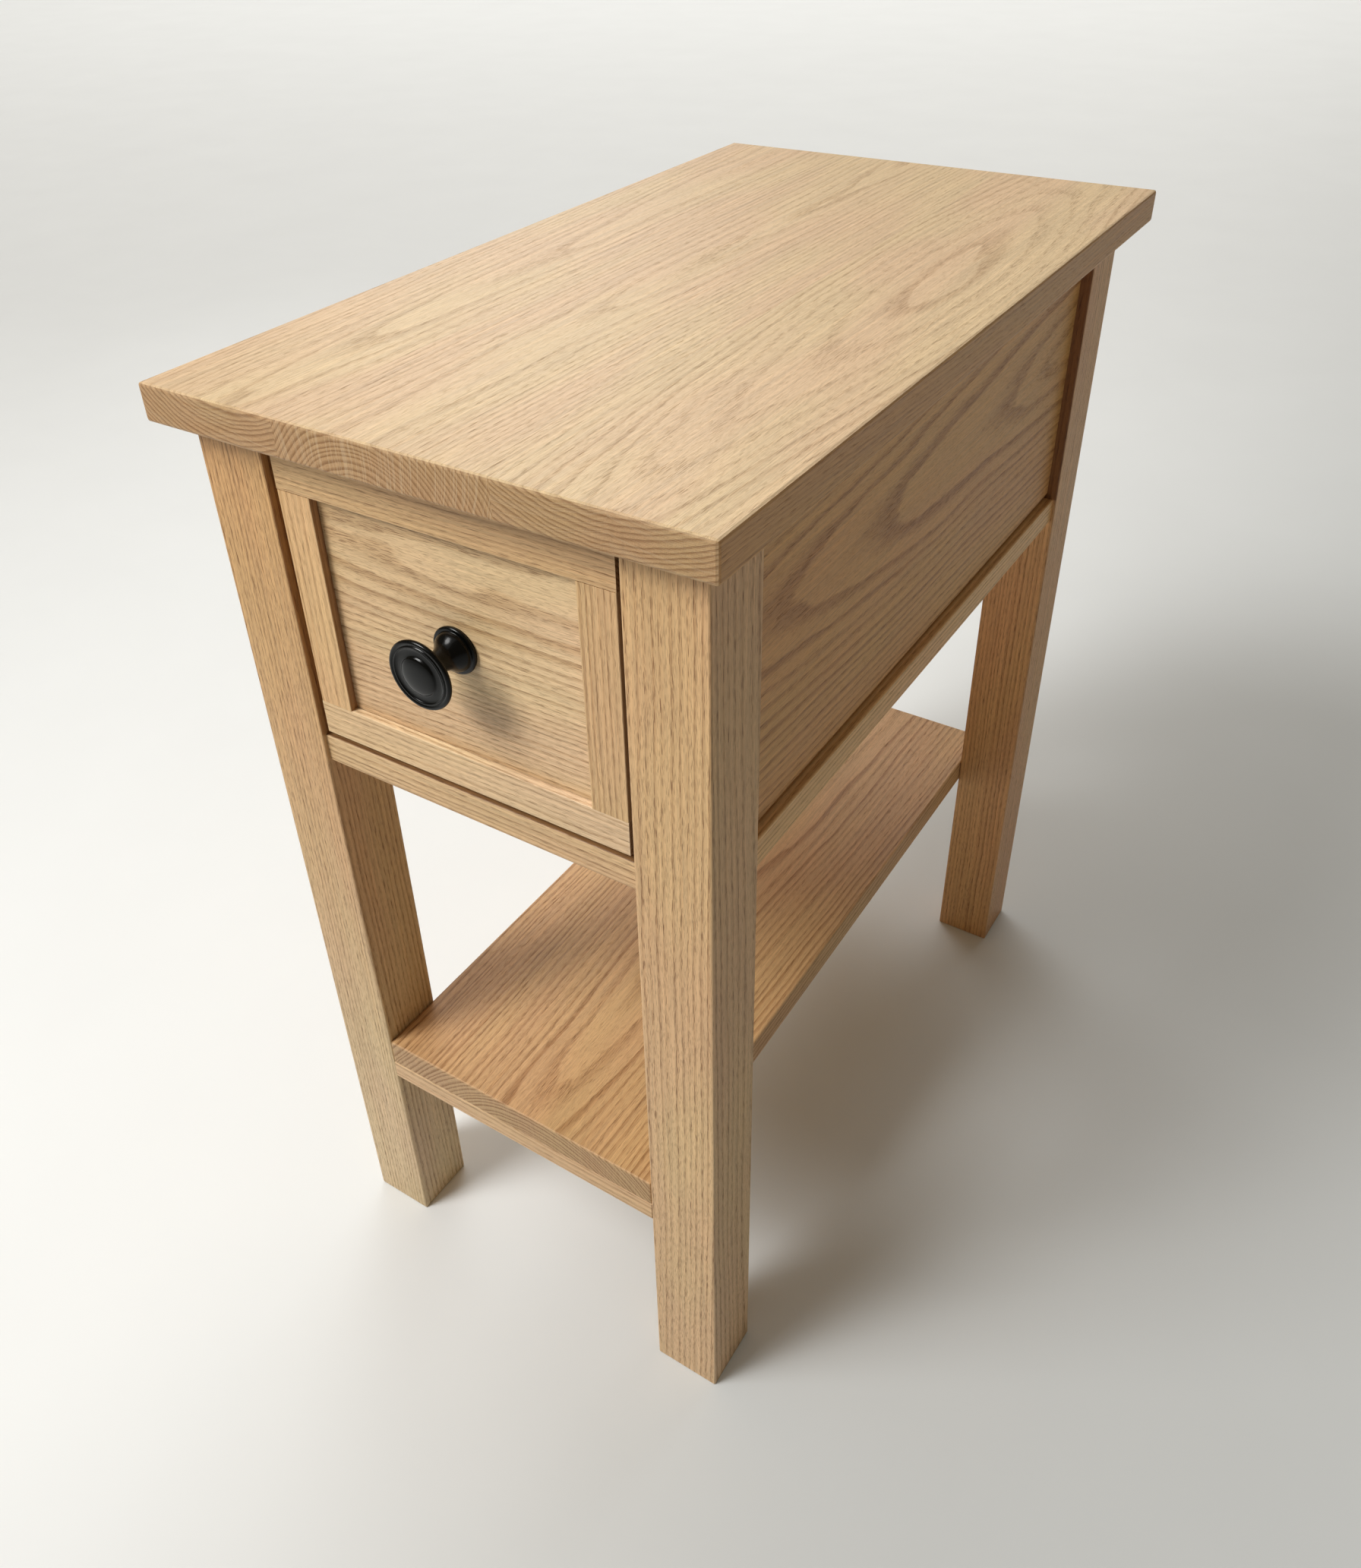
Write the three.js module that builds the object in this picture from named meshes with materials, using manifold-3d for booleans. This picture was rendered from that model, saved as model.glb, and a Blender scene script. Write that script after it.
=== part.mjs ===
// Oak side table with one drawer and a low shelf.
// Millimetres, +Z up. The drawer opens towards -Y, and +X is on the right seen from the front.
// The origin is on the floor, under the centre of the table's overall box.

import * as THREE from 'three';
import { RoundedBoxGeometry } from 'three/addons/geometries/RoundedBoxGeometry.js';
import { mergeVertices } from 'three/addons/utils/BufferGeometryUtils.js';
import Module from 'manifold-3d';

const wasm = await Module();
wasm.setup();

// ---------------------------------------------------------------- driving dimensions

const HEIGHT = 610;
const TOP_WIDTH = 308;
const TOP_DEPTH = 540;
const TOP_THICKNESS = 19;
const TOP_JOINTS_X = [-68, 51];        // glue lines between the three boards of the top

const LEG = 42;                        // square section
const SIDE_OVERHANG = 13;
const FRONT_OVERHANG = 15.5;
const BACK_OVERHANG = 25;

const RAIL_BOTTOM = 403;               // drawer rail and the rails level with it
const RAIL_HEIGHT = 17;
const RAIL_THICKNESS = 18;
const FRONT_RAIL_DEPTH = 40;
const RAIL_SETBACK = 2.5;              // rail face behind leg face
const REVEAL = 3.25;                   // shadow gap round the drawer front and above the rails
const PANEL_SETBACK = 7;
const PANEL_THICKNESS = 12;

const SHELF_TOP = 178;
const SHELF_THICKNESS = 19;
const SHELF_RAIL_HEIGHT = 14;
const SHELF_RAIL_DEPTH = 18;
const SHELF_SIDE_GAP = 0.25;

const STRETCHER_THICKNESS = 18;        // the stretcher and the kickers under the top
const STRETCHER_DEPTH = 60;
const CLOSED_GAP = 0.5;                // between the closed drawer front and the stretcher
const KICKER_INNER_X = 79;
const GUIDE_HEIGHT = 16;
const GUIDE_CLEARANCE = 1;
const RUNNER_END_GAP = 0.5;            // between a runner and the front rail

const DRAWER_FRONT_THICKNESS = 19;
const STILE_WIDTH = 20.5;
const DRAWER_BOTTOM_RAIL_HEIGHT = 20;
const DRAWER_TOP_RAIL_HEIGHT = 24.75;
const DRAWER_PANEL_RECESS = 4.75;
const TONGUE_THICKNESS = 6;
const TONGUE_LENGTH = 7;

const BOX_HALF_WIDTH = 95.5;
const BOX_WALL = 12;
const BOX_REAR_Y = 190;
const BOX_TOP = 570;
const RUNNING_GAP = 0.25;              // drawer sides above the runners
const BOX_BACK_THICKNESS = 10;
const BOX_BACK_REAR_Y = 180;
const BOX_BACK_TOP = 560;
const BOX_BACK_LIFT = 0.5;             // above the drawer bottom
const BOX_FLOOR_BOTTOM = 428;
const BOX_FLOOR_THICKNESS = 6;
const BOX_FLOOR_TONGUE = { length: 6, endGap: 1.25, shoulder: 1.5 };
const BOX_GROOVE_DEPTH = 5.5;
const BACK_HOUSING_DEPTH = 4;
const TAILS_PER_CORNER = 4;
const PIN_WIDTH = 10;
const PIN_FLARE = 2;                   // each flank of a pin widens by this over the wall

const STOP_BLOCK = { halfWidth: 20, thickness: 12, bottom: 530, top: 586, screwX: 10, screwRise: 14 };

const KNOB_LENGTH = 28.5;
const KNOB_BORE_RADIUS = 2.3;
const KNOB_BORE_DEPTH = 12;

const EASE = 1;                        // radius on the arrises of the boards
const TOP_EASE = 1.5;
const GAP = 0.3;                       // between a cut joint and the piece in it
const EMBED = 2;                       // how far a tenon starts inside its own rail
const OVERCUT = 1;                     // how far a cutter runs past the surface that it opens

// ---------------------------------------------------------------- derived places

const topUnderside = HEIGHT - TOP_THICKNESS;
const legOuterX = TOP_WIDTH / 2 - SIDE_OVERHANG;
const legInnerX = legOuterX - LEG;
const legFrontY = -TOP_DEPTH / 2 + FRONT_OVERHANG;
const legBackY = TOP_DEPTH / 2 - BACK_OVERHANG;
const frontLegRearY = legFrontY + LEG;
const rearLegFrontY = legBackY - LEG;

const railTop = RAIL_BOTTOM + RAIL_HEIGHT;
const panelBottom = railTop + REVEAL;
const sidePanelOuterX = legOuterX - PANEL_SETBACK;
const sidePanelInnerX = sidePanelOuterX - PANEL_THICKNESS;
const sideRailOuterX = legOuterX - RAIL_SETBACK;
const sideRailInnerX = sideRailOuterX - RAIL_THICKNESS;
const backPanelOuterY = legBackY - PANEL_SETBACK;
const backRailOuterY = legBackY - RAIL_SETBACK;

const drawerFaceY = legFrontY + RAIL_SETBACK;
const drawerFrontBackY = drawerFaceY + DRAWER_FRONT_THICKNESS;
const drawerHalfWidth = legInnerX - REVEAL;
const drawerFrontBottom = railTop + REVEAL;
const drawerFrontTop = topUnderside - REVEAL;
const openingBottom = drawerFrontBottom + DRAWER_BOTTOM_RAIL_HEIGHT;
const openingTop = drawerFrontTop - DRAWER_TOP_RAIL_HEIGHT;
const openingHalfWidth = drawerHalfWidth - STILE_WIDTH;
const drawerPanelFaceY = drawerFaceY + DRAWER_PANEL_RECESS;
const tongueBackY = drawerPanelFaceY + TONGUE_THICKNESS;

const boxInnerHalfWidth = BOX_HALF_WIDTH - BOX_WALL;
const boxBottom = railTop + RUNNING_GAP;
const boxFrontBackY = drawerFrontBackY + BOX_WALL;
const boxFloorTop = BOX_FLOOR_BOTTOM + BOX_FLOOR_THICKNESS;

const stretcherBottom = topUnderside - STRETCHER_THICKNESS;
const stretcherFrontY = drawerFrontBackY + CLOSED_GAP;
const stretcherRearY = stretcherFrontY + STRETCHER_DEPTH;

const shelfUnderside = SHELF_TOP - SHELF_THICKNESS;
const shelfRailBottom = shelfUnderside - SHELF_RAIL_HEIGHT;

const knobZ = (openingBottom + openingTop) / 2;
const knobTipY = drawerPanelFaceY - KNOB_LENGTH;
const originShiftY = -(knobTipY + TOP_DEPTH / 2) / 2;

// ---------------------------------------------------------------- geometry helpers

// A closed three.js geometry as a solid that can be joined and cut.
function solid(geometry) {
  const bare = geometry.clone();
  bare.deleteAttribute('normal');
  bare.deleteAttribute('uv');
  const merged = mergeVertices(bare);
  const mesh = new wasm.Mesh({
    numProp: 3,
    vertProperties: new Float32Array(merged.attributes.position.array),
    triVerts: new Uint32Array(merged.index.array),
  });
  return new wasm.Manifold(mesh);
}

// A solid as a three.js geometry again.
function geometryOf(manifold) {
  const mesh = manifold.getMesh();
  const geometry = new THREE.BufferGeometry();
  geometry.setAttribute('position', new THREE.BufferAttribute(mesh.vertProperties, 3));
  geometry.setIndex(new THREE.BufferAttribute(mesh.triVerts, 1));
  geometry.computeVertexNormals();
  return geometry;
}

function sizeAndCentre(x, y, z) {
  const size = [x, y, z].map(([a, b]) => Math.abs(b - a));
  const centre = [x, y, z].map(([a, b]) => (a + b) / 2);
  return { size, centre };
}

// A plain block between two values on each axis, for joints and hidden timber.
function block(x, y, z) {
  const { size, centre } = sizeAndCentre(x, y, z);
  return solid(new THREE.BoxGeometry(...size).translate(...centre));
}

// A block with every edge eased.
function easedBlock(x, y, z, radius) {
  const { size, centre } = sizeAndCentre(x, y, z);
  return solid(new RoundedBoxGeometry(...size, 1, radius).translate(...centre));
}

// A board with its four long edges eased and square-cut ends.
function board(x, y, z, along, radius = EASE) {
  const { size, centre } = sizeAndCentre(x, y, z);
  const [sizeX, sizeY, sizeZ] = size;
  const section = { x: [sizeZ, sizeY], y: [sizeX, sizeZ], z: [sizeX, sizeY] }[along];
  const length = { x: sizeX, y: sizeY, z: sizeZ }[along];
  const [halfU, halfV] = section.map((side) => side / 2);
  const outline = new THREE.Shape();
  const quarter = Math.PI / 2;
  outline.absarc(halfU - radius, halfV - radius, radius, 0, quarter);
  outline.absarc(radius - halfU, halfV - radius, radius, quarter, 2 * quarter);
  outline.absarc(radius - halfU, radius - halfV, radius, 2 * quarter, 3 * quarter);
  outline.absarc(halfU - radius, radius - halfV, radius, 3 * quarter, 4 * quarter);
  const options = { depth: length, bevelEnabled: false, curveSegments: 2 };
  const geometry = new THREE.ExtrudeGeometry(outline, options).translate(0, 0, -length / 2);
  if (along === 'x') geometry.rotateY(quarter);
  if (along === 'y') geometry.rotateX(quarter);
  return solid(geometry.translate(...centre));
}

// The same two values, wider by the joint gap at both ends.
function loose([a, b], gap = GAP) {
  return [Math.min(a, b) - gap, Math.max(a, b) + gap];
}

const joinAll = (first, others) => others.reduce((sum, piece) => sum.add(piece), first);
const cutAll = (first, cutters) => cutters.reduce((rest, cutter) => rest.subtract(cutter), first);

// ---------------------------------------------------------------- pieces and groups

const table = new THREE.Group();
table.position.y = originShiftY;
const drawer = new THREE.Group();
table.add(drawer);

const OAK = { color: 0xc8a06f, roughness: 0.5, metalness: 0 };
const OAK_INSIDE = { color: 0xb98f60, roughness: 0.7, metalness: 0 };
const BIRCH_PLY = { color: 0xd6b98c, roughness: 0.65, metalness: 0 };
const BLACK_KNOB = { color: 0x17171a, roughness: 0.32, metalness: 0.1 };
const SCREW_STEEL = { color: 0x9a9488, roughness: 0.35, metalness: 1 };

// Adds one named piece, with its geometry centred on the mesh's own position.
function addPiece(group, name, manifold, finish) {
  const geometry = geometryOf(manifold);
  geometry.computeBoundingBox();
  const centre = geometry.boundingBox.getCenter(new THREE.Vector3());
  geometry.translate(-centre.x, -centre.y, -centre.z);
  const mesh = new THREE.Mesh(geometry, new THREE.MeshStandardMaterial(finish));
  mesh.name = name;
  mesh.position.copy(centre);
  group.add(mesh);
}

const SIDES = [['left', -1], ['right', 1]];

// ---------------------------------------------------------------- joints in the frame
// Each tenon or tongue is named once, so that the piece and its mortise agree. They are
// given for the right-hand side, and `side` is -1 on the left.

const TENON_LENGTH = 20;
const SHORT_TENON_LENGTH = 18;
const PANEL_TONGUE_LENGTH = 8;
const SHELF_TENON_LENGTH = 16;

const TENON_SHOULDER = 3;              // above and below each tenon
const FRONT_RAIL_SHOULDER = 8;         // in front of the tenon and behind it
const STRETCHER_SHOULDER = { front: 4.5, top: 4 };
const RAIL_TENON = { shoulder: 3.5, thickness: 11 };
const SHELF_TENON = { shoulder: 5.5, thickness: 8 };
const PANEL_TONGUE = { shoulder: 3, thickness: 6, below: 7.75, above: 8 };

// The two faces of a tenon or tongue, set in from the outer face of its board.
function setIn(outerFace, { shoulder, thickness }) {
  return [outerFace - shoulder - thickness, outerFace - shoulder];
}

const TENON_Z = [RAIL_BOTTOM + TENON_SHOULDER, railTop - TENON_SHOULDER];
const PANEL_TONGUE_Z = [panelBottom + PANEL_TONGUE.below, topUnderside - PANEL_TONGUE.above];
const SHELF_TENON_Z = [shelfRailBottom + TENON_SHOULDER, shelfUnderside - TENON_SHOULDER];

const frontRailTenon = {
  y: [drawerFaceY + FRONT_RAIL_SHOULDER, drawerFaceY + FRONT_RAIL_DEPTH - FRONT_RAIL_SHOULDER],
  z: TENON_Z,
};
const stretcherTenon = {
  y: [stretcherFrontY + STRETCHER_SHOULDER.front, frontLegRearY - STRETCHER_SHOULDER.front],
  z: [stretcherBottom + TENON_SHOULDER, topUnderside - STRETCHER_SHOULDER.top],
};
const backRailTenon = {
  y: setIn(backRailOuterY, RAIL_TENON),
  z: TENON_Z,
};
const backPanelTongue = {
  y: setIn(backPanelOuterY, PANEL_TONGUE),
  z: PANEL_TONGUE_Z,
};
const shelfRearTenon = {
  y: setIn(legBackY, SHELF_TENON),
  z: SHELF_TENON_Z,
};
const shelfFrontTenon = {
  y: setIn(-legFrontY, SHELF_TENON).map((y) => -y),
  z: SHELF_TENON_Z,
};
const sideRailTenonX = setIn(sideRailOuterX, RAIL_TENON);
const sideTongueX = setIn(sidePanelOuterX, PANEL_TONGUE);

// A tenon that runs along X into the inner face of a leg.
function crossTenon(joint, side, length) {
  return block([side * (legInnerX - EMBED), side * (legInnerX + length)], joint.y, joint.z);
}

function crossMortise(joint, side, length) {
  const x = [side * (legInnerX - EMBED), side * (legInnerX + length + GAP)];
  return block(x, loose(joint.y), loose(joint.z));
}

// ---------------------------------------------------------------- screws

const TOP_SCREW_LENGTH = 30;
const SHELF_SCREW_LENGTH = 25;
const BOTTOM_SCREW_LENGTH = 18;
const STOP_SCREW_LENGTH = 20;

const SCREW_SIDES = 10;
const SCREW = { headRadius: 4, rimHeight: 0.4, headHeight: 2.5, shankRadius: 1.8, tipLength: 4 };
const RECESS = { width: 1.1, span: 4.6, depth: 1.4 };

// A countersunk wood screw along +Y, with the face of its head at 0 and a crossed recess.
function woodScrew(length) {
  const { headRadius, rimHeight, headHeight, shankRadius, tipLength } = SCREW;
  const profile = [
    new THREE.Vector2(0, 0),
    new THREE.Vector2(headRadius, 0),
    new THREE.Vector2(headRadius, rimHeight),
    new THREE.Vector2(shankRadius, headHeight),
    new THREE.Vector2(shankRadius, length - tipLength),
    new THREE.Vector2(0, length),
  ];
  const { width, span, depth } = RECESS;
  const slot = [[-span / 2, span / 2], [-OVERCUT, depth], [-width / 2, width / 2]];
  const body = solid(new THREE.LatheGeometry(profile, SCREW_SIDES));
  return cutAll(body, [block(...slot), block(slot[2], slot[1], slot[0])]);
}

// The countersunk hole for that screw, which opens past the surface at 0.
function screwHole(length) {
  const { headRadius, rimHeight, headHeight, shankRadius } = SCREW;
  const profile = [
    new THREE.Vector2(0, -OVERCUT),
    new THREE.Vector2(headRadius + GAP, -OVERCUT),
    new THREE.Vector2(headRadius + GAP, rimHeight),
    new THREE.Vector2(shankRadius + GAP, headHeight + rimHeight),
    new THREE.Vector2(shankRadius + GAP, length + GAP),
    new THREE.Vector2(0, length + GAP),
  ];
  return solid(new THREE.LatheGeometry(profile, SCREW_SIDES));
}

// Turns a solid made along +Y to run along +Z or -Y, and moves it to a place.
function pointed(manifold, direction, place) {
  const geometry = geometryOf(manifold);
  if (direction === '+z') geometry.rotateX(Math.PI / 2);
  if (direction === '-y') geometry.rotateX(Math.PI);
  return solid(geometry.translate(...place));
}

function screwHoles(places, length, direction) {
  return places.map((place) => pointed(screwHole(length), direction, place));
}

function addScrews(group, name, places, length, direction) {
  places.forEach((place, i) => {
    addPiece(group, `${name}_${i + 1}`, pointed(woodScrew(length), direction, place), SCREW_STEEL);
  });
}

// ---------------------------------------------------------------- tabletop

const KICKER_SCREW_X = 100;
const KICKER_SCREWS_Y = [-120, 140];
const STRETCHER_SCREW_X = 35;

const kickerScrewPlaces = (side) => KICKER_SCREWS_Y.map((y) => [side * KICKER_SCREW_X, y, stretcherBottom]);
const stretcherMiddleY = (stretcherFrontY + stretcherRearY) / 2;
const stretcherScrewPlaces = SIDES.map(([, side]) => [
  side * STRETCHER_SCREW_X,
  stretcherMiddleY,
  stretcherBottom,
]);
const topScrewPlaces = [...kickerScrewPlaces(-1), ...kickerScrewPlaces(1), ...stretcherScrewPlaces];

function addTabletop() {
  const half = TOP_WIDTH / 2;
  const depth = [-TOP_DEPTH / 2, TOP_DEPTH / 2];
  const height = [topUnderside, HEIGHT];
  const whole = easedBlock([-half, half], depth, height, TOP_EASE);
  const holes = screwHoles(topScrewPlaces, TOP_SCREW_LENGTH, '+z');
  const edges = [-half, ...TOP_JOINTS_X, half];
  const names = ['tabletop_left_board', 'tabletop_middle_board', 'tabletop_right_board'];
  names.forEach((name, i) => {
    const slice = whole.intersect(block([edges[i], edges[i + 1]], depth, height));
    addPiece(table, name, cutAll(slice, holes), OAK);
  });
  addScrews(table, 'tabletop_screw', topScrewPlaces, TOP_SCREW_LENGTH, '+z');
}

// ---------------------------------------------------------------- legs

function addLegs() {
  for (const [sideName, side] of SIDES) {
    const legX = [side * legInnerX, side * legOuterX];
    const tongueX = loose(sideTongueX.map((x) => side * x));
    const tenonX = loose(sideRailTenonX.map((x) => side * x));

    const front = easedBlock(legX, [legFrontY, frontLegRearY], [0, topUnderside], EASE);
    const frontTongueY = [frontLegRearY - PANEL_TONGUE_LENGTH - GAP, frontLegRearY + OVERCUT];
    const frontTenonY = [frontLegRearY - SHORT_TENON_LENGTH - GAP, frontLegRearY + OVERCUT];
    const frontCuts = [
      crossMortise(frontRailTenon, side, TENON_LENGTH),
      crossMortise(stretcherTenon, side, TENON_LENGTH),
      crossMortise(shelfFrontTenon, side, SHELF_TENON_LENGTH),
      block(tongueX, frontTongueY, loose(PANEL_TONGUE_Z)),
      block(tenonX, frontTenonY, loose(TENON_Z)),
    ];
    addPiece(table, `front_${sideName}_leg`, cutAll(front, frontCuts), OAK);

    const rear = easedBlock(legX, [rearLegFrontY, legBackY], [0, topUnderside], EASE);
    const rearTongueY = [rearLegFrontY - OVERCUT, rearLegFrontY + PANEL_TONGUE_LENGTH + GAP];
    const rearTenonY = [rearLegFrontY - OVERCUT, rearLegFrontY + SHORT_TENON_LENGTH + GAP];
    const rearCuts = [
      crossMortise(backRailTenon, side, SHORT_TENON_LENGTH),
      crossMortise(backPanelTongue, side, PANEL_TONGUE_LENGTH),
      crossMortise(shelfRearTenon, side, SHELF_TENON_LENGTH),
      block(tongueX, rearTongueY, loose(PANEL_TONGUE_Z)),
      block(tenonX, rearTenonY, loose(TENON_Z)),
    ];
    addPiece(table, `rear_${sideName}_leg`, cutAll(rear, rearCuts), OAK);
  }
}

// ---------------------------------------------------------------- panels and rails of the case

// A board along X between two legs, with the same tenon or tongue at both ends.
function crossMember(y, z, joint, length) {
  const body = board([-legInnerX, legInnerX], y, z, 'x');
  return joinAll(body, SIDES.map(([, side]) => crossTenon(joint, side, length)));
}

function addSidePanelsAndRails() {
  const between = [frontLegRearY, rearLegFrontY];
  for (const [sideName, side] of SIDES) {
    const panelX = [side * sidePanelInnerX, side * sidePanelOuterX];
    const panel = board(panelX, between, [panelBottom, topUnderside], 'y');
    const tongueY = [between[0] - PANEL_TONGUE_LENGTH, between[1] + PANEL_TONGUE_LENGTH];
    const tongue = block(sideTongueX.map((x) => side * x), tongueY, PANEL_TONGUE_Z);
    addPiece(table, `${sideName}_side_panel`, panel.add(tongue), OAK);

    const railX = [side * sideRailInnerX, side * sideRailOuterX];
    const rail = board(railX, between, [RAIL_BOTTOM, railTop], 'y');
    const tenonY = [between[0] - SHORT_TENON_LENGTH, between[1] + SHORT_TENON_LENGTH];
    const tenon = block(sideRailTenonX.map((x) => side * x), tenonY, TENON_Z);
    addPiece(table, `${sideName}_side_rail`, rail.add(tenon), OAK);
  }
}

function addBackPanelAndRail() {
  const panelY = [backPanelOuterY - PANEL_THICKNESS, backPanelOuterY];
  const panelZ = [panelBottom, topUnderside];
  const panel = crossMember(panelY, panelZ, backPanelTongue, PANEL_TONGUE_LENGTH);
  addPiece(table, 'back_panel', panel, OAK);

  const railY = [backRailOuterY - RAIL_THICKNESS, backRailOuterY];
  const railZ = [RAIL_BOTTOM, railTop];
  addPiece(table, 'back_rail', crossMember(railY, railZ, backRailTenon, SHORT_TENON_LENGTH), OAK);
}

function addFrontRail() {
  const y = [drawerFaceY, drawerFaceY + FRONT_RAIL_DEPTH];
  const rail = crossMember(y, [RAIL_BOTTOM, railTop], frontRailTenon, TENON_LENGTH);
  addPiece(table, 'front_rail', rail, OAK);
}

// The stretcher ties the front legs under the top, and the closed drawer front stops on it.
function addFrontTopStretcher() {
  const y = [stretcherFrontY, stretcherRearY];
  const z = [stretcherBottom, topUnderside];
  const stretcher = crossMember(y, z, stretcherTenon, TENON_LENGTH);
  const holes = screwHoles(stretcherScrewPlaces, TOP_SCREW_LENGTH, '+z');
  addPiece(table, 'front_top_stretcher', cutAll(stretcher, holes), OAK_INSIDE);
}

// ---------------------------------------------------------------- drawer runners

// The drawer slides on the runners, between the guide strips and under the kickers.
function addRunnersGuidesAndKickers() {
  const runnerFrontY = drawerFaceY + FRONT_RAIL_DEPTH + RUNNER_END_GAP;
  const guideInnerX = BOX_HALF_WIDTH + GUIDE_CLEARANCE;
  for (const [sideName, side] of SIDES) {
    const runnerX = [side * KICKER_INNER_X, side * sideRailInnerX];
    const runner = block(runnerX, [runnerFrontY, rearLegFrontY], [RAIL_BOTTOM, railTop]);
    addPiece(table, `${sideName}_runner`, runner, OAK_INSIDE);

    const guideX = [side * guideInnerX, side * sidePanelInnerX];
    const guideZ = [railTop, railTop + GUIDE_HEIGHT];
    const guide = block(guideX, [frontLegRearY, rearLegFrontY], guideZ);
    addPiece(table, `${sideName}_guide_strip`, guide, OAK_INSIDE);

    const kickerX = [side * KICKER_INNER_X, side * sidePanelInnerX];
    const kicker = block(kickerX, [stretcherRearY, rearLegFrontY], [stretcherBottom, topUnderside]);
    const holes = screwHoles(kickerScrewPlaces(side), TOP_SCREW_LENGTH, '+z');
    addPiece(table, `${sideName}_kicker`, cutAll(kicker, holes), OAK_INSIDE);
  }
}

// ---------------------------------------------------------------- shelf

const SHELF_SCREW_X = 55;
const shelfFrontRailY = [legFrontY, legFrontY + SHELF_RAIL_DEPTH];
const shelfRearRailY = [legBackY - SHELF_RAIL_DEPTH, legBackY];

function shelfScrewPlaces([nearY, farY]) {
  return SIDES.map(([, side]) => [side * SHELF_SCREW_X, (nearY + farY) / 2, shelfRailBottom]);
}

function addShelf() {
  const halfWidth = legInnerX - SHELF_SIDE_GAP;
  const shelfZ = [shelfUnderside, SHELF_TOP];
  const shelf = easedBlock([-halfWidth, halfWidth], [legFrontY, legBackY], shelfZ, EASE);
  const frontPlaces = shelfScrewPlaces(shelfFrontRailY);
  const rearPlaces = shelfScrewPlaces(shelfRearRailY);
  const frontHoles = screwHoles(frontPlaces, SHELF_SCREW_LENGTH, '+z');
  const rearHoles = screwHoles(rearPlaces, SHELF_SCREW_LENGTH, '+z');
  addPiece(table, 'shelf_board', cutAll(shelf, [...frontHoles, ...rearHoles]), OAK);

  const railZ = [shelfRailBottom, shelfUnderside];
  const frontRail = crossMember(shelfFrontRailY, railZ, shelfFrontTenon, SHELF_TENON_LENGTH);
  addPiece(table, 'shelf_front_rail', cutAll(frontRail, frontHoles), OAK);
  const rearRail = crossMember(shelfRearRailY, railZ, shelfRearTenon, SHELF_TENON_LENGTH);
  addPiece(table, 'shelf_rear_rail', cutAll(rearRail, rearHoles), OAK);
  addScrews(table, 'shelf_screw', [...frontPlaces, ...rearPlaces], SHELF_SCREW_LENGTH, '+z');
}

// ---------------------------------------------------------------- drawer front

// Rails run the full width, and the stiles stand between them on stub tenons. One groove runs
// round the frame, and holds the edge of the panel and the stub tenons.
function addDrawerFront() {
  const thickness = [drawerFaceY, drawerFrontBackY];
  const grooveY = loose([drawerPanelFaceY, tongueBackY]);
  const tongueY = [drawerPanelFaceY, tongueBackY];
  const grooveZ = [openingBottom - TONGUE_LENGTH - GAP, openingTop + TONGUE_LENGTH + GAP];
  const beyond = drawerHalfWidth + OVERCUT;
  const fullWidth = [-drawerHalfWidth, drawerHalfWidth];

  const railGroove = block([-beyond, beyond], grooveY, grooveZ);
  const topRail = board(fullWidth, thickness, [openingTop, drawerFrontTop], 'x', EASE / 2);
  addPiece(drawer, 'drawer_front_top_rail', topRail.subtract(railGroove), OAK);
  const bottomRail = board(fullWidth, thickness, [drawerFrontBottom, openingBottom], 'x', EASE / 2);
  addPiece(drawer, 'drawer_front_bottom_rail', bottomRail.subtract(railGroove), OAK);

  const tongueZ = [openingBottom - TONGUE_LENGTH, openingTop + TONGUE_LENGTH];
  for (const [sideName, side] of SIDES) {
    const stileX = [side * openingHalfWidth, side * drawerHalfWidth];
    const stile = board(stileX, thickness, [openingBottom, openingTop], 'z', EASE / 2);
    const withTenons = stile.add(block(stileX, tongueY, tongueZ));
    const grooveX = [0, side * (openingHalfWidth + TONGUE_LENGTH + GAP)];
    const groove = block(grooveX, grooveY, [grooveZ[0] - OVERCUT, grooveZ[1] + OVERCUT]);
    addPiece(drawer, `drawer_front_${sideName}_stile`, withTenons.subtract(groove), OAK);
  }

  const edgeX = openingHalfWidth + TONGUE_LENGTH;
  const sheet = block([-edgeX, edgeX], tongueY, tongueZ);
  const backX = openingHalfWidth - GAP;
  const backY = [tongueBackY - EMBED, drawerFrontBackY];
  const thickPart = block([-backX, backX], backY, [openingBottom + GAP, openingTop - GAP]);
  addPiece(drawer, 'drawer_front_panel', sheet.add(thickPart).subtract(knobScrewBore()), OAK);
}

// ---------------------------------------------------------------- knob and its screw

const KNOB_SIDES = 28;
const KNOB_SCREW_LENGTH = 35;

function knobScrewBore() {
  const place = [0, boxFrontBackY, knobZ];
  return pointed(screwHole(KNOB_SCREW_LENGTH), '-y', place);
}

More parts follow.
